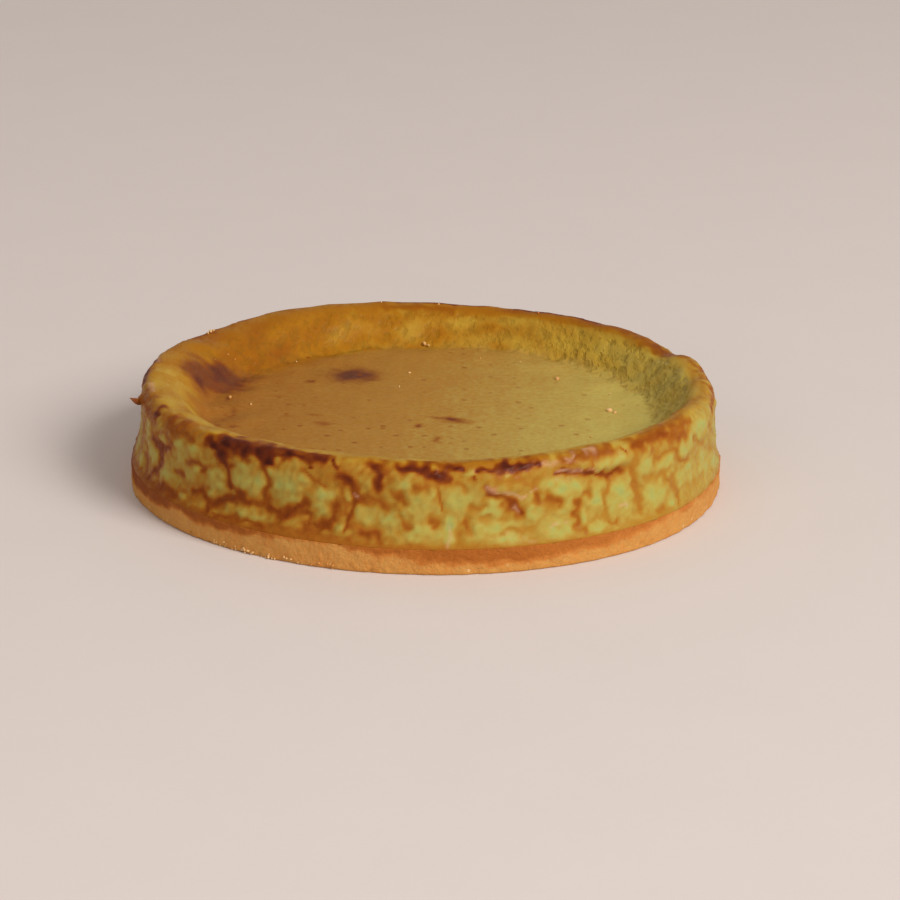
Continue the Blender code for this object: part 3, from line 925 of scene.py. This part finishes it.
def biscuit_material(finish):
    """Dry crumb: grains of several sizes, toasted by the "toast" attribute."""
    paint = Paint("biscuit_crumb")
    grain = paint.noise(0.0016, detail=4, roughness=0.7)
    mottle = paint.noise(0.007, detail=3, roughness=0.6)
    toast = paint.attribute("toast")
    shift = paint.maths("MULTIPLY_ADD", paint.maths("SUBTRACT", grain, 0.5), 0.45, toast)
    shift = paint.maths("MULTIPLY_ADD", paint.maths("SUBTRACT", mottle, 0.5), 0.3, shift)
    tone = paint.ramp(
        shift,
        ((0.05, finish.pale), (0.3, finish.warm), (0.62, finish.toasted), (0.98, finish.deep)),
    )
    distance, cell = paint.cells(0.0028)
    chance = paint.node("ShaderNodeSeparateColor")
    paint.feed(chance.inputs[0], cell)
    reach = paint.ranged(chance.outputs[1], 0.6, 1.0, 0.0, 0.3)
    speck = paint.ranged(paint.maths("SUBTRACT", distance, reach), 0.08, -0.08, 0.0, 0.5)
    speck = paint.maths("MULTIPLY", speck, paint.attribute("specks"))
    tone = paint.mix(speck, tone, finish.speck)
    paint.feed(paint.shader.inputs["Base Color"], tone)
    paint.shader.inputs["Roughness"].default_value = finish.roughness
    paint.shader.inputs["Specular IOR Level"].default_value = 0.25
    pits = paint.ranged(grain, 0.3, 0.62)
    paint.bump(paint.maths("MULTIPLY_ADD", pits, 0.7, paint.maths("MULTIPLY", distance, 0.5)), 0.0003)
    return paint.material


def custard_rings(sizes):
    """The custard's section in millimetres: underside, side, shoulder, ridge, wall and floor.

    The side settles from a flared foot by an exponential. The shoulder is a quarter ellipse. The wall rises
    from the floor to the ridge by wall_rise, and the floor is a shallow parabola. The floor's rings lose half
    their columns three times as they shrink."""
    full = sizes.columns
    side, flare, reach = in_millimetres(sizes, "side_radius", "flare", "flare_reach")
    shoulder, ridge, floor, dish = in_millimetres(
        sizes, "shoulder_height", "ridge_height", "floor_height", "floor_dish"
    )
    ridge_radius, floor_radius = in_millimetres(sizes, "ridge_radius", "floor_radius")
    radii = [side * 0.5, side * 0.99, side + flare]
    heights = [CUSTARD_FOOT - SUNK] * 3
    rows = np.linspace(CUSTARD_FOOT, shoulder, SIDE_RINGS)
    radii += list(side + flare * np.exp((CUSTARD_FOOT - rows) / reach))
    heights += list(rows)
    turn = np.radians(np.linspace(0, 90, SHOULDER_RINGS)[1:])
    radii += list(ridge_radius + (radii[-1] - ridge_radius) * np.cos(turn))
    heights += list(shoulder + (ridge - shoulder) * np.sin(turn))
    t = np.linspace(1, 0, WALL_RINGS)[1:]
    radii += list(floor_radius + (ridge_radius - floor_radius) * t)
    heights += list(floor + (ridge - floor) * wall_rise(t))
    columns = [full] * len(radii)
    # Stretches of the floor: where each ends as a share of its radius, how many rings it has, their columns
    stretches = ((0.97, 3, full), (0.5, 25, full // 2), (0.2, 15, full // 4), (0.02, 10, full // 8))
    start = 1.0
    for end, rows, count in stretches:
        t = np.linspace(start, end, rows + 1)[1:]
        radii += list(floor_radius * t)
        heights += list(floor - dish * (1 - t**2))
        columns += [count] * rows
        start = end
    return Rings(radii, heights, columns)


def custard_even_to_uneven(rings, sizes):
    """The solid's own relief on finer rings: the moved radius and height of each point, in millimetres."""
    azimuth, radius, height = rings.azimuth, rings.radius, rings.height
    points = turned_out(radius, azimuth, height)
    shoulder, ridge, floor = in_millimetres(sizes, "shoulder_height", "ridge_height", "floor_height")
    top_radius, ridge_radius, floor_radius = in_millimetres(
        sizes, "side_radius", "ridge_radius", "floor_radius"
    )
    foot_blend, lean, lean_reach = in_millimetres(sizes, "foot_blend", "lean", "lean_reach")
    above_foot = smoothstep((height - CUSTARD_FOOT) / foot_blend)
    risen = smoothstep((height - floor) / (ridge - floor))
    on_top = smoothstep((height - shoulder) / (ridge - shoulder))
    on_side = smoothstep((radius - ridge_radius) / (top_radius - ridge_radius))
    outer = smoothstep((radius - 0.6 * floor_radius) / (0.4 * floor_radius))
    in_dish = smoothstep((ridge_radius - radius) / (ridge_radius - floor_radius) * 2)
    in_dish = in_dish * outer * above_foot
    side = ripples(points, SIDE_BULGE) + fold_push(azimuth, height) + swelling(FLAKE, azimuth, height)
    out = outer * waves(azimuth, OUTLINE_WAVES) + on_side * above_foot * side
    out += on_side * swelling(FLATTER, azimuth, height)
    out += in_dish * waves(azimuth, FLOOR_EDGE_WAVES)
    out += lean * np.cos(np.radians(azimuth)) * outer * smoothstep((height - CUSTARD_FOOT) / lean_reach)
    up = risen * (ridge_lift(azimuth) + on_top * ripples(points, RIM_CRAG))
    up += in_dish * ripples(points, WALL_LUMP)
    return points, radius + out, height + up


def along_tables(place, *tables):
    """Values from tables of (azimuth, value), held at their ends and straight between."""
    return [np.interp(place, *zip(*table)) for table in tables]


def side_browning(points, mirrored, place, way):
    """Browning of the side between the strokes: pale patches, a faint net, fine tones and a browned foot."""
    along, up = place
    patches = patch_cover(mirrored, up, PALE_PATCHES)
    between, upper, foot_tone, foot_height = along_tables(
        mirrored, SIDE_BROWNING, UPPER_BROWNING, FOOT_BROWNING, FOOT_BROWNING_HEIGHT
    )
    tone = between + (upper - between) * smoothstep((way - UPPER_EDGE) / 4)
    tone -= patches * (PATCH_PALER + ripples(points, PATCH_TONE))
    net = cell_edges(along + NET_LENGTH, up, NET_SIZE, NET_LENGTH, NET_SEED)
    tone += NET_BROWNING * np.exp(-net * net) * (1 - patches)
    tone += sum(ripples(points, relief) for relief in SIDE_TONES)
    at_foot = smoothstep((foot_height + 0.9 - points[:, 2] + ripples(points, FOOT_EDGE)) / 1.8)
    return tone + (foot_tone - tone) * at_foot


def top_browning(points, azimuth, radius, floor_radius):
    """Browning of the wall and the sunken top, where the top's matt skin is, 0 to 1, and the top's edge.

    The matt skin climbs further up the wall at the front left, and the wall is browner at its crest on the
    right."""
    along_wall = np.column_stack((WALL_RADIUS * np.radians(azimuth), 2.6 * radius, 0 * radius))
    wall = along_tables(azimuth, WALL_BROWNING)[0] + ripples(along_wall, WALL_TONE)
    wall += CREST_BROWNING * smoothstep((radius - CREST_RADIUS) / 7) * facing(azimuth, 20, 2, 0.6)
    middle, right, back = TOP_BROWNING
    floor = middle + right * points[:, 0] / floor_radius + back * points[:, 1] / floor_radius
    edge = floor_radius + waves(azimuth, FLOOR_EDGE_WAVES)
    climb = MATT_CLIMB + MATT_CLIMB_LEFT * facing(azimuth, -166, 2, 1)
    matt = smoothstep((edge + climb - radius + ripples(points, FLOOR_RIM)) / 8)
    return wall * (1 - matt) + floor * matt, matt, edge


def with_marks(browning, points, inside):
    """The browning with the marks of the sunken top added where they are browner, and their greyness."""
    ash = np.zeros_like(browning)
    flat = points * (1, 1, 0)
    x = points[:, 0] + ripples(flat, MARK_SHIFT_X)
    y = points[:, 1] + ripples(flat, MARK_SHIFT_Y)
    for centre_x, centre_y, half_x, half_y, tone, grey in TOP_MARKS:
        distance = np.hypot((x - centre_x) / half_x, (y - centre_y) / half_y)
        cover = inside * 0.5 ** (distance**2.4)
        browning = browning + cover * np.maximum(tone - browning, 0)
        ash = np.maximum(ash, cover * grey)
    return browning, ash


def browned(rings, points, uneven, sizes):
    """Where and how the custard is browned: its browning, dullness, ash, freckles, and pale films with
    painted glints, 0 to 1.

    points are the even section's and uneven holds the moved heights. On the outer side a point's place is
    (arc length, height). Past the ridge the height runs on as the way in from it, so a mark crosses the ridge
    unbroken. Two rippled shifts make every edge ragged. The back repeats the front mirrored, with larger
    shifts."""
    azimuth, radius = rings.azimuth, rings.radius
    side_radius, ridge_radius, floor_radius, ridge = in_millimetres(
        sizes, "side_radius", "ridge_radius", "floor_radius", "ridge_height"
    )
    scale = math.radians(side_radius)
    inside = radius < ridge_radius
    way = np.where(inside, ridge + ridge_lift(azimuth) + ridge_radius - radius, uneven)
    back = smoothstep(np.sin(np.radians(azimuth)) * 2)
    fine_along, fine_up = ripples(points, SHIFT_ALONG), ripples(points, SHIFT_UP)
    along_shift = SIDE_SHIFT * fine_along + BACK_SHIFT[0] * back * ripples(points, BACK_SHIFT_ALONG)
    up_shift = SIDE_SHIFT * fine_up + BACK_SHIFT[1] * back * ripples(points, BACK_SHIFT_UP)
    mirrored = -np.abs(azimuth) + along_shift / scale
    place = (mirrored * scale, way + up_shift)
    swell = np.clip(1 + ripples(points, STROKE_SWELL), 0.5, 1.6)

    side = side_browning(points, mirrored, place, way)
    top, matt, floor_edge = top_browning(points, azimuth, radius, floor_radius)
    crossing = smoothstep((way - ridge - ridge_lift(azimuth) + 2.2) / 3)
    tone = side * (1 - crossing) + top * crossing
    below_ridge = 1 - smoothstep((way - (ridge + 0.6 - 2 * back)) / 2.0)
    tone += (painted(tone, *place, unrolled(SIDE_STROKES, scale), swell) - tone) * below_ridge
    rim_place = (azimuth * scale + RIM_SHIFT * fine_along, way + RIM_SHIFT * fine_up)
    browning = painted(tone, *rim_place, unrolled(RIM_STROKES, scale), swell)
    browning += smoothstep((browning - 0.7) / 0.15) * ripples(points, CHAR_TONE)
    # Pale films of lifted skin, partly painted highlights where light glints on the side
    film = painted(0 * tone, *place, unrolled(FILMS_AND_GLINTS, scale), swell)
    browning, ash = with_marks(browning, points, inside)
    freckled = smoothstep((floor_edge + 8 - radius) / 6) * (0.85 - 0.35 * points[:, 0] / floor_radius)
    return {
        "browning": np.clip(browning, 0, 1),
        "dull": inside * matt,
        "walled": crossing,
        "ash": np.clip(ash, 0, 1) * 0.7,
        "freckles": inside * np.clip(freckled, 0, 1),
        "film": film * (1 - back),
    }


def wall_wrinkles(points, rings, ridge_radius, floor_radius):
    """The wrinkles inside the rim at the right and back: where they are, 0 to 1, and their rippled height.

    They are ripples over (length along the wall, way in from the ridge), bent by two slower ripples. They
    are longer along the wall than across it."""
    along = (rings.azimuth + 180) / 360 * math.tau * WALL_RADIUS + ripples(points, WRINKLE_BEND_ALONG)
    inward = np.abs(ridge_radius - rings.radius) + ripples(points, WRINKLE_BEND_INWARD)
    fold = np.column_stack((along, inward * WRINKLE_STRETCH, 0 * along))
    wrinkles = sum(ripples(fold, relief) for relief in WRINKLES)
    on_wall = smoothstep((ridge_radius - 5 - rings.radius) / 4)
    on_wall *= smoothstep((rings.radius - floor_radius + 5) / 6)
    back, right = (
        strength * facing(rings.azimuth, *where) for *where, strength in (WRINKLED_BACK, WRINKLED_RIGHT)
    )
    return on_wall * np.maximum(back, right), wrinkles


def custard_surface(sizes):
    """The custard as arrays: points in metres, faces and attributes.

    The uneven shape comes first. Then points move along the section's normal: green patches bulge by how
    little they are browned, burnt skin is lumpy, and the wall at the right and back is wrinkled. The low
    places of the wrinkles get painted shade."""
    rings = custard_rings(sizes)
    points, radius, height = custard_even_to_uneven(rings, sizes)
    marks = browned(rings, points, height, sizes)
    browning = marks["browning"]
    ridge_radius, floor_radius, floor, dish = in_millimetres(
        sizes, "ridge_radius", "floor_radius", "floor_height", "floor_dish"
    )
    bulge, wrinkle, char_crust = in_millimetres(sizes, "bulge", "wrinkle", "char_crust")
    on_side = smoothstep((rings.radius - ridge_radius) / 3)
    above_foot = smoothstep((rings.height - CUSTARD_FOOT) / 2)
    patches = bulge * (smoothstep((BULGE_BELOW - browning) / 0.4) - 0.5)
    blisters = sum(ripples(points, relief) for relief in BLISTERS)
    crust = char_crust * smoothstep((browning - BURNT_ABOVE) / 0.15) * np.abs(ripples(points, BURNT_LUMPS))
    moist = smoothstep((ripples(points, MOIST_PLACES) + 0.4) / 1.2) * on_side
    marks["moist"] = moist * facing(rings.azimuth, -62, 6, 4.6)
    wrinkled, wrinkles = wall_wrinkles(points, rings, ridge_radius, floor_radius)
    marks["wrinkled"] = wrinkled
    # Painted shade: how far the low places of the wrinkles are coloured darker
    marks["crease"] = wrinkled * smoothstep((0.2 - wrinkles) / 1.6)
    wrinkles = wrinkle * wrinkled * np.clip(wrinkles, -1.4, 1.2)
    on_floor = smoothstep((floor_radius + 4 - rings.radius) / 6)
    floor_skin = ripples(points * (1, 1.6, 1), FLOOR_SKIN) * on_floor
    relief = above_foot * (on_side * above_foot * (patches + blisters) + crust + wrinkles + floor_skin)
    outward, upward = rings.normals()
    shaped = turned_out(radius + outward * relief, rings.azimuth, height + upward * relief)
    poles = ((0, 0, CUSTARD_FOOT - SUNK), (0, 0, floor - dish))
    shaped = np.vstack((shaped, poles)) * MM
    attributes = {name: np.append(values, (0.0, values[-1])) for name, values in marks.items()}
    return shaped, rings.faces(), attributes


def biscuit_surface(sizes):
    """The biscuit base as arrays: a disc with a worn lower edge and a rounded upper one.

    Its side is moved by the solid's own relief, then grains of two sizes stand out of it and a few chips are
    missing at the lower edge."""
    outer, wear, inset = in_millimetres(sizes, "base_radius", "base_wear", "base_inset")
    side = np.linspace(0, 1, BISCUIT_RINGS)[1:-1]
    radii = [outer * 0.5, outer * 0.9, outer - wear - 1.5, outer - wear]
    heights = [0, 0, 0, 0]
    turn = np.radians(np.linspace(0, 90, WORN_EDGE_RINGS)[1:])
    radii += list(outer - wear + wear * np.sin(turn))
    heights += list(wear - wear * np.cos(turn))
    radii += [outer] * len(side)
    heights += list(wear + (BASE_TOP - inset - wear) * side)
    turn = np.radians(np.linspace(0, 90, UPPER_EDGE_RINGS))
    radii += list(outer - inset + inset * np.cos(turn))
    heights += list(BASE_TOP - inset + inset * np.sin(turn))
    radii += [outer - inset - 2.0, outer * 0.9, outer * 0.5]
    heights += [BASE_TOP] * 3
    rings = Rings(radii, heights, [sizes.columns] * len(radii))
    azimuth, radius, height = rings.azimuth, rings.radius, rings.height
    points = turned_out(radius, azimuth, height)
    at_edge = smoothstep((radius / outer - 0.95) / 0.03)
    uneven = waves(azimuth, OUTLINE_WAVES) + ripples(points, BASE_CRUMB)
    moved = radius + at_edge * (uneven + swelling(FLATTER, azimuth, height))
    grains = sum(ripples(points, relief) for relief in BISCUIT_GRAINS)
    chips = -0.5 * smoothstep((ripples(points, BISCUIT_CHIPS) - 1.3) / 0.6) * smoothstep((3.5 - height) / 2)
    moved += at_edge * smoothstep(height / 0.6) * (grains + chips)
    shaped = turned_out(moved, azimuth, height)
    shaped = np.vstack((shaped, ((0, 0, 0), (0, 0, BASE_TOP)))) * MM

    edge = along_tables(-np.abs(azimuth), TOAST_EDGE)[0]
    above = height - edge + sum(ripples(points, relief) for relief in TOAST_RAGGED) + 1
    rightward = np.cos(np.radians(azimuth))
    right, left = smoothstep((rightward - 0.2) / 0.6), smoothstep((-0.35 - rightward) / 0.6)
    toast = 0.1 + (0.5 - 0.16 * right) * smoothstep((above + right) / (3.2 + 2 * right))
    toast += 0.3 * left * smoothstep(above / 2.5)
    attributes = {
        "toast": np.append(toast, (0.2, 0.8)),
        "specks": np.append(smoothstep((4.5 - height) / 3), (1, 0)),
    }
    return shaped, rings.faces(), attributes


def crumb_grains(places, sizes, seed):
    """Small rough grains: 12-cornered solids whose corners are moved in and out at random.

    places is an array of centres and sizes their half widths, both in metres."""
    golden = (1 + math.sqrt(5)) / 2
    corners = np.array(
        [(0, a, b * golden) for a in (-1, 1) for b in (-1, 1)]
        + [(a, b * golden, 0) for a in (-1, 1) for b in (-1, 1)]
        + [(b * golden, 0, a) for a in (-1, 1) for b in (-1, 1)],
        float,
    )
    corners /= np.linalg.norm(corners, axis=1)[:, None]
    gap = np.linalg.norm(corners[:, None] - corners[None], axis=2)
    near = (gap > 0) & (gap < 1.2)
    triangles = [
        (a, b, c)
        for a in range(12)
        for b in range(a + 1, 12)
        for c in range(b + 1, 12)
        if near[a, b] and near[b, c] and near[a, c]
    ]
    triangles = np.array(triangles)
    centre = corners[triangles].mean(axis=1)
    first, second, third = (corners[triangles[:, k]] for k in range(3))
    normal = np.cross(second - first, third - first)
    turned = np.einsum("ij,ij->i", centre, normal) < 0
    triangles[turned] = triangles[turned][:, ::-1]
    random = np.random.default_rng(seed)
    count = len(places)
    swell = random.uniform(0.65, 1.15, (count, 12, 1))
    stretch = random.uniform(0.7, 1.25, (count, 1, 3))
    points = places[:, None] + corners[None] * swell * stretch * np.asarray(sizes)[:, None, None]
    faces = triangles[None] + 12 * np.arange(count)[:, None, None]
    points[..., 2] = np.maximum(points[..., 2], 0)
    return points.reshape(-1, 3), faces.reshape(-1, 3)


def flake_surface(sizes):
    """The curled flake of browned skin at the left: a thin upright blade that tapers outwards to a point.

    Its middle line leaves the side and bends upwards, its height shrinks as the square root of
    1 - t ** 1.6 along it, and its two faces are parted by a thickness that shrinks too."""
    centre, line = FLAKE[:2]
    rows, across = FLAKE_ROWS, FLAKE_COLUMNS
    t = np.linspace(0, 1, rows)[:, None]
    u = np.linspace(-1, 1, across)[None, :]
    outer = sizes.side_radius / MM - 0.6
    half_height = FLAKE_HALF_HEIGHT * np.sqrt(1 - t**1.6) + 0.04
    out = outer + FLAKE_LENGTH * t + 0.3 * u * t
    up = line - 1.4 + half_height * u + FLAKE_BEND_UP * t * t
    aside = FLAKE_BEND_ASIDE * np.sin(2.6 * t) + 0.5 * u * u * (1 - t)
    thick = FLAKE_THICKNESS * (1 - 0.75 * t) * np.sqrt(np.maximum(1 - u * u, 0.03))
    both = [np.stack((out, aside + way * thick, up), axis=-1).reshape(-1, 3) for way in (1, -1)]
    x, y, z = np.vstack(both).T
    angle = math.radians(centre)
    turned = np.column_stack(
        (x * math.cos(angle) - y * math.sin(angle), x * math.sin(angle) + y * math.cos(angle), z)
    )
    count = rows * across
    i, j = np.meshgrid(np.arange(rows - 1), np.arange(across - 1), indexing="ij")
    a = (i * across + j).ravel()
    b, c, d = a + 1, a + across + 1, a + across
    front = np.vstack((np.column_stack((a, b, c)), np.column_stack((a, c, d))))
    back = front[:, ::-1] + count
    rim = np.concatenate(
        (
            np.arange(across),
            np.arange(1, rows) * across + across - 1,
            (rows - 1) * across + np.arange(across - 2, -1, -1),
            np.arange(rows - 2, 0, -1) * across,
        )
    )
    after = np.roll(rim, -1)
    band = ((after, rim, rim + count), (after, rim + count, after + count))
    return turned * MM, np.vstack((front, back, *(np.column_stack(corners) for corners in band)))


def crumb_material(finish):
    """Pale toasted crumbs, uneven in colour."""
    paint = Paint("stray_crumb")
    grain = paint.noise(0.0009, detail=3, roughness=0.7)
    patch = paint.noise(0.02, detail=1)
    value = paint.maths("MULTIPLY_ADD", paint.maths("SUBTRACT", grain, 0.5), 0.8, patch)
    paint.feed(
        paint.shader.inputs["Base Color"],
        paint.ramp(value, ((0.25, finish.warm), (0.45, finish.pale), (0.7, finish.speck))),
    )
    paint.shader.inputs["Roughness"].default_value = finish.roughness
    paint.bump(grain, 0.0002)
    return paint.material


def flake_material(finish):
    """Thin dry skin, orange-brown with darker mottling."""
    paint = Paint("curled_skin")
    grain = paint.noise(0.0012, detail=3, roughness=0.65)
    paint.feed(
        paint.shader.inputs["Base Color"],
        paint.ramp(grain, ((0.3, finish.brown), (0.5, finish.russet), (0.7, finish.dark))),
    )
    paint.shader.inputs["Roughness"].default_value = finish.roughness + 0.1
    paint.bump(grain, 0.0002)
    return paint.material


def floor_material(look):
    """A pale matt floor, very slightly uneven in tone."""
    paint = Paint("pale_floor")
    grain = paint.noise(0.05, detail=3)
    darker = tuple(0.965 * value for value in look.floor_colour)
    paint.feed(paint.shader.inputs["Base Color"], paint.mix(grain, darker, tuple(look.floor_colour)))
    paint.shader.inputs["Roughness"].default_value = 0.75
    paint.bump(paint.noise(0.004, detail=2), 0.00005)
    return paint.material


class CHEESECAKE_OT_biscuit(bpy.types.Operator):
    """Build the pressed biscuit base, toasted at its upper edge"""

    bl_idname = "cheesecake.biscuit"
    bl_label = "Biscuit Base"

    def execute(self, context):
        sizes = context.scene.cheesecake_sizes
        finish = biscuit_material(context.scene.cheesecake_biscuit)
        points, faces, attributes = biscuit_surface(sizes)
        add_piece("biscuit_skin", points, faces, attributes, finish, "biscuit_base")
        return {"FINISHED"}


class CHEESECAKE_OT_custard(bpy.types.Operator):
    """Build the custard: browned side, burnt rim, wrinkled wall and matt sunken top"""

    bl_idname = "cheesecake.custard"
    bl_label = "Custard"

    def execute(self, context):
        sizes = context.scene.cheesecake_sizes
        finish = custard_material(context.scene.cheesecake_custard)
        points, faces, attributes = custard_surface(sizes)
        add_piece("custard_skin", points, faces, attributes, finish, "custard")
        return {"FINISHED"}


class CHEESECAKE_OT_flake(bpy.types.Operator):
    """Build the curled flake of skin at the left of the rim"""

    bl_idname = "cheesecake.flake"
    bl_label = "Curled Flake"

    def execute(self, context):
        points, faces = flake_surface(context.scene.cheesecake_sizes)
        add_piece("curled_flake", points, faces, {}, flake_material(context.scene.cheesecake_custard))
        return {"FINISHED"}


class CHEESECAKE_OT_crumbs(bpy.types.Operator):
    """Scatter the stray crumbs on the top and the loose grains along the foot of the base"""

    bl_idname = "cheesecake.crumbs"
    bl_label = "Crumbs"

    def execute(self, context):
        sizes = context.scene.cheesecake_sizes
        finish = crumb_material(context.scene.cheesecake_biscuit)
        x, y, size = np.array(CRUMBS).T
        height = top_height(x, y, sizes)
        places = np.column_stack((x, y, height + 0.2 * size)) * MM
        points, faces = crumb_grains(places, size / 2 * MM, seed=5)
        add_piece("top_crumbs", points, faces, {}, finish)

        random = np.random.default_rng(8)
        azimuth = random.uniform(*FOOT_GRAIN_ARC, FOOT_GRAINS)
        half = random.uniform(0.35, 0.8, FOOT_GRAINS)
        radius = sizes.base_radius / MM + random.uniform(-0.5, 0.2, FOOT_GRAINS) - half * 0.2
        height = half * 0.6 + random.uniform(0, 1.6, FOOT_GRAINS) ** 1.4
        places = turned_out(radius, azimuth, height) * MM
        points, faces = crumb_grains(places, half * MM, seed=6)
        add_piece("foot_grains", points, faces, {}, finish)
        return {"FINISHED"}


class CHEESECAKE_OT_studio(bpy.types.Operator):
    """Set the pale floor, the soft lights and the camera"""

    bl_idname = "cheesecake.studio"
    bl_label = "Studio"

    def execute(self, context):
        look = context.scene.cheesecake_look
        add_floor(look)
        for name, power, side, azimuth, elevation, distance, tone in LIGHTS:
            add_light(name, getattr(look, power), side, azimuth, elevation, distance, screen(*tone))
        add_sky(look)
        add_camera(look)
        context.scene.view_settings.view_transform = "Standard"
        context.scene.view_settings.look = "None"
        return {"FINISHED"}


def top_height(x, y, sizes):
    """The height in millimetres of the dish's even surface under each point, without its fine relief."""
    radius = np.hypot(x, y)
    ridge_radius, floor_radius = in_millimetres(sizes, "ridge_radius", "floor_radius")
    ridge, floor, depth = in_millimetres(sizes, "ridge_height", "floor_height", "floor_dish")
    azimuth = np.degrees(np.arctan2(y, x))
    edge = smoothstep((ridge_radius - radius) / (ridge_radius - floor_radius) * 2)
    even = radius - edge * waves(azimuth, FLOOR_EDGE_WAVES)
    wall = wall_rise((even - floor_radius) / (ridge_radius - floor_radius))
    dish = depth * (1 - np.minimum(radius / floor_radius, 1) ** 2)
    return floor + (ridge - floor) * wall + wall * ridge_lift(azimuth) - dish


def add_floor(look):
    """A wide flat floor."""
    half = 2.0
    mesh = bpy.data.meshes.new("floor")
    corners = [(-half, -half, 0), (half, -half, 0), (half, half, 0), (-half, half, 0)]
    mesh.from_pydata(corners, [], [(0, 1, 2, 3)])
    mesh.materials.append(floor_material(look))
    floor = bpy.data.objects.new("floor", mesh)
    bpy.context.scene.collection.objects.link(floor)


def add_light(name, power, side, azimuth, elevation, distance, tone):
    """A square soft light, aimed at the cake from an azimuth and an elevation in degrees."""
    data = bpy.data.lights.new(name, "AREA")
    data.energy = power
    data.size = side
    data.color = tone
    light = bpy.data.objects.new(name, data)
    turn, rise = math.radians(azimuth), math.radians(elevation)
    light.rotation_euler = (math.pi / 2 - rise, 0, turn + math.pi / 2)
    light.location = (
        distance * math.cos(rise) * math.cos(turn),
        distance * math.cos(rise) * math.sin(turn),
        distance * math.sin(rise),
    )
    bpy.context.scene.collection.objects.link(light)


def add_sky(look):
    """Even, slightly warm light from all round."""
    world = bpy.data.worlds.new("room")
    world.use_nodes = True
    background = world.node_tree.nodes["Background"]
    background.inputs["Color"].default_value = (*screen(*ROOM_COLOUR), 1)
    background.inputs["Strength"].default_value = look.sky_strength
    bpy.context.scene.world = world


def add_camera(look):
    """A camera in front of the cake, looking down at it."""
    data = bpy.data.cameras.new("camera")
    data.lens = look.lens
    data.sensor_width = 36
    data.clip_start = 0.05
    camera = bpy.data.objects.new("camera", data)
    aim = Matrix.Rotation(-look.camera_turn, 4, "Z")
    tilt = Matrix.Rotation(math.pi / 2 - look.camera_pitch, 4, "X")
    roll = Matrix.Rotation(look.camera_roll, 4, "Z")
    place = Matrix.Translation((0, -look.camera_distance, look.camera_height))
    camera.matrix_world = place @ aim @ tilt @ roll
    bpy.context.scene.collection.objects.link(camera)
    bpy.context.scene.camera = camera


GROUPS = {
    "cheesecake_sizes": CakeSizes,
    "cheesecake_custard": CustardFinish,
    "cheesecake_biscuit": BiscuitFinish,
    "cheesecake_look": StudioLook,
}
OPERATORS = (
    CHEESECAKE_OT_biscuit,
    CHEESECAKE_OT_custard,
    CHEESECAKE_OT_flake,
    CHEESECAKE_OT_crumbs,
    CHEESECAKE_OT_studio,
)


class CHEESECAKE_PT_sidebar(bpy.types.Panel):
    """The cake's sizes and colours, and a button for each piece"""

    bl_idname = "CHEESECAKE_PT_sidebar"
    bl_label = "Baked Cheesecake"
    bl_space_type = "VIEW_3D"
    bl_region_type = "UI"
    bl_category = "Cheesecake"

    def draw(self, context):
        for operator in OPERATORS:
            self.layout.operator(operator.bl_idname)
        for key, group in GROUPS.items():
            box = self.layout.box()
            for name in group.__annotations__:
                box.prop(getattr(context.scene, key), name)


def register():
    for key, group in GROUPS.items():
        bpy.utils.register_class(group)
        setattr(bpy.types.Scene, key, PointerProperty(type=group))
    for kind in (*OPERATORS, CHEESECAKE_PT_sidebar):
        bpy.utils.register_class(kind)


def unregister():
    for kind in (CHEESECAKE_PT_sidebar, *reversed(OPERATORS)):
        bpy.utils.unregister_class(kind)
    for key, group in GROUPS.items():
        delattr(bpy.types.Scene, key)
        bpy.utils.unregister_class(group)


def main():
    register()
    bpy.ops.cheesecake.biscuit()
    bpy.ops.cheesecake.custard()
    bpy.ops.cheesecake.flake()
    bpy.ops.cheesecake.crumbs()
    bpy.ops.cheesecake.studio()


if __name__ == "__main__":
    main()
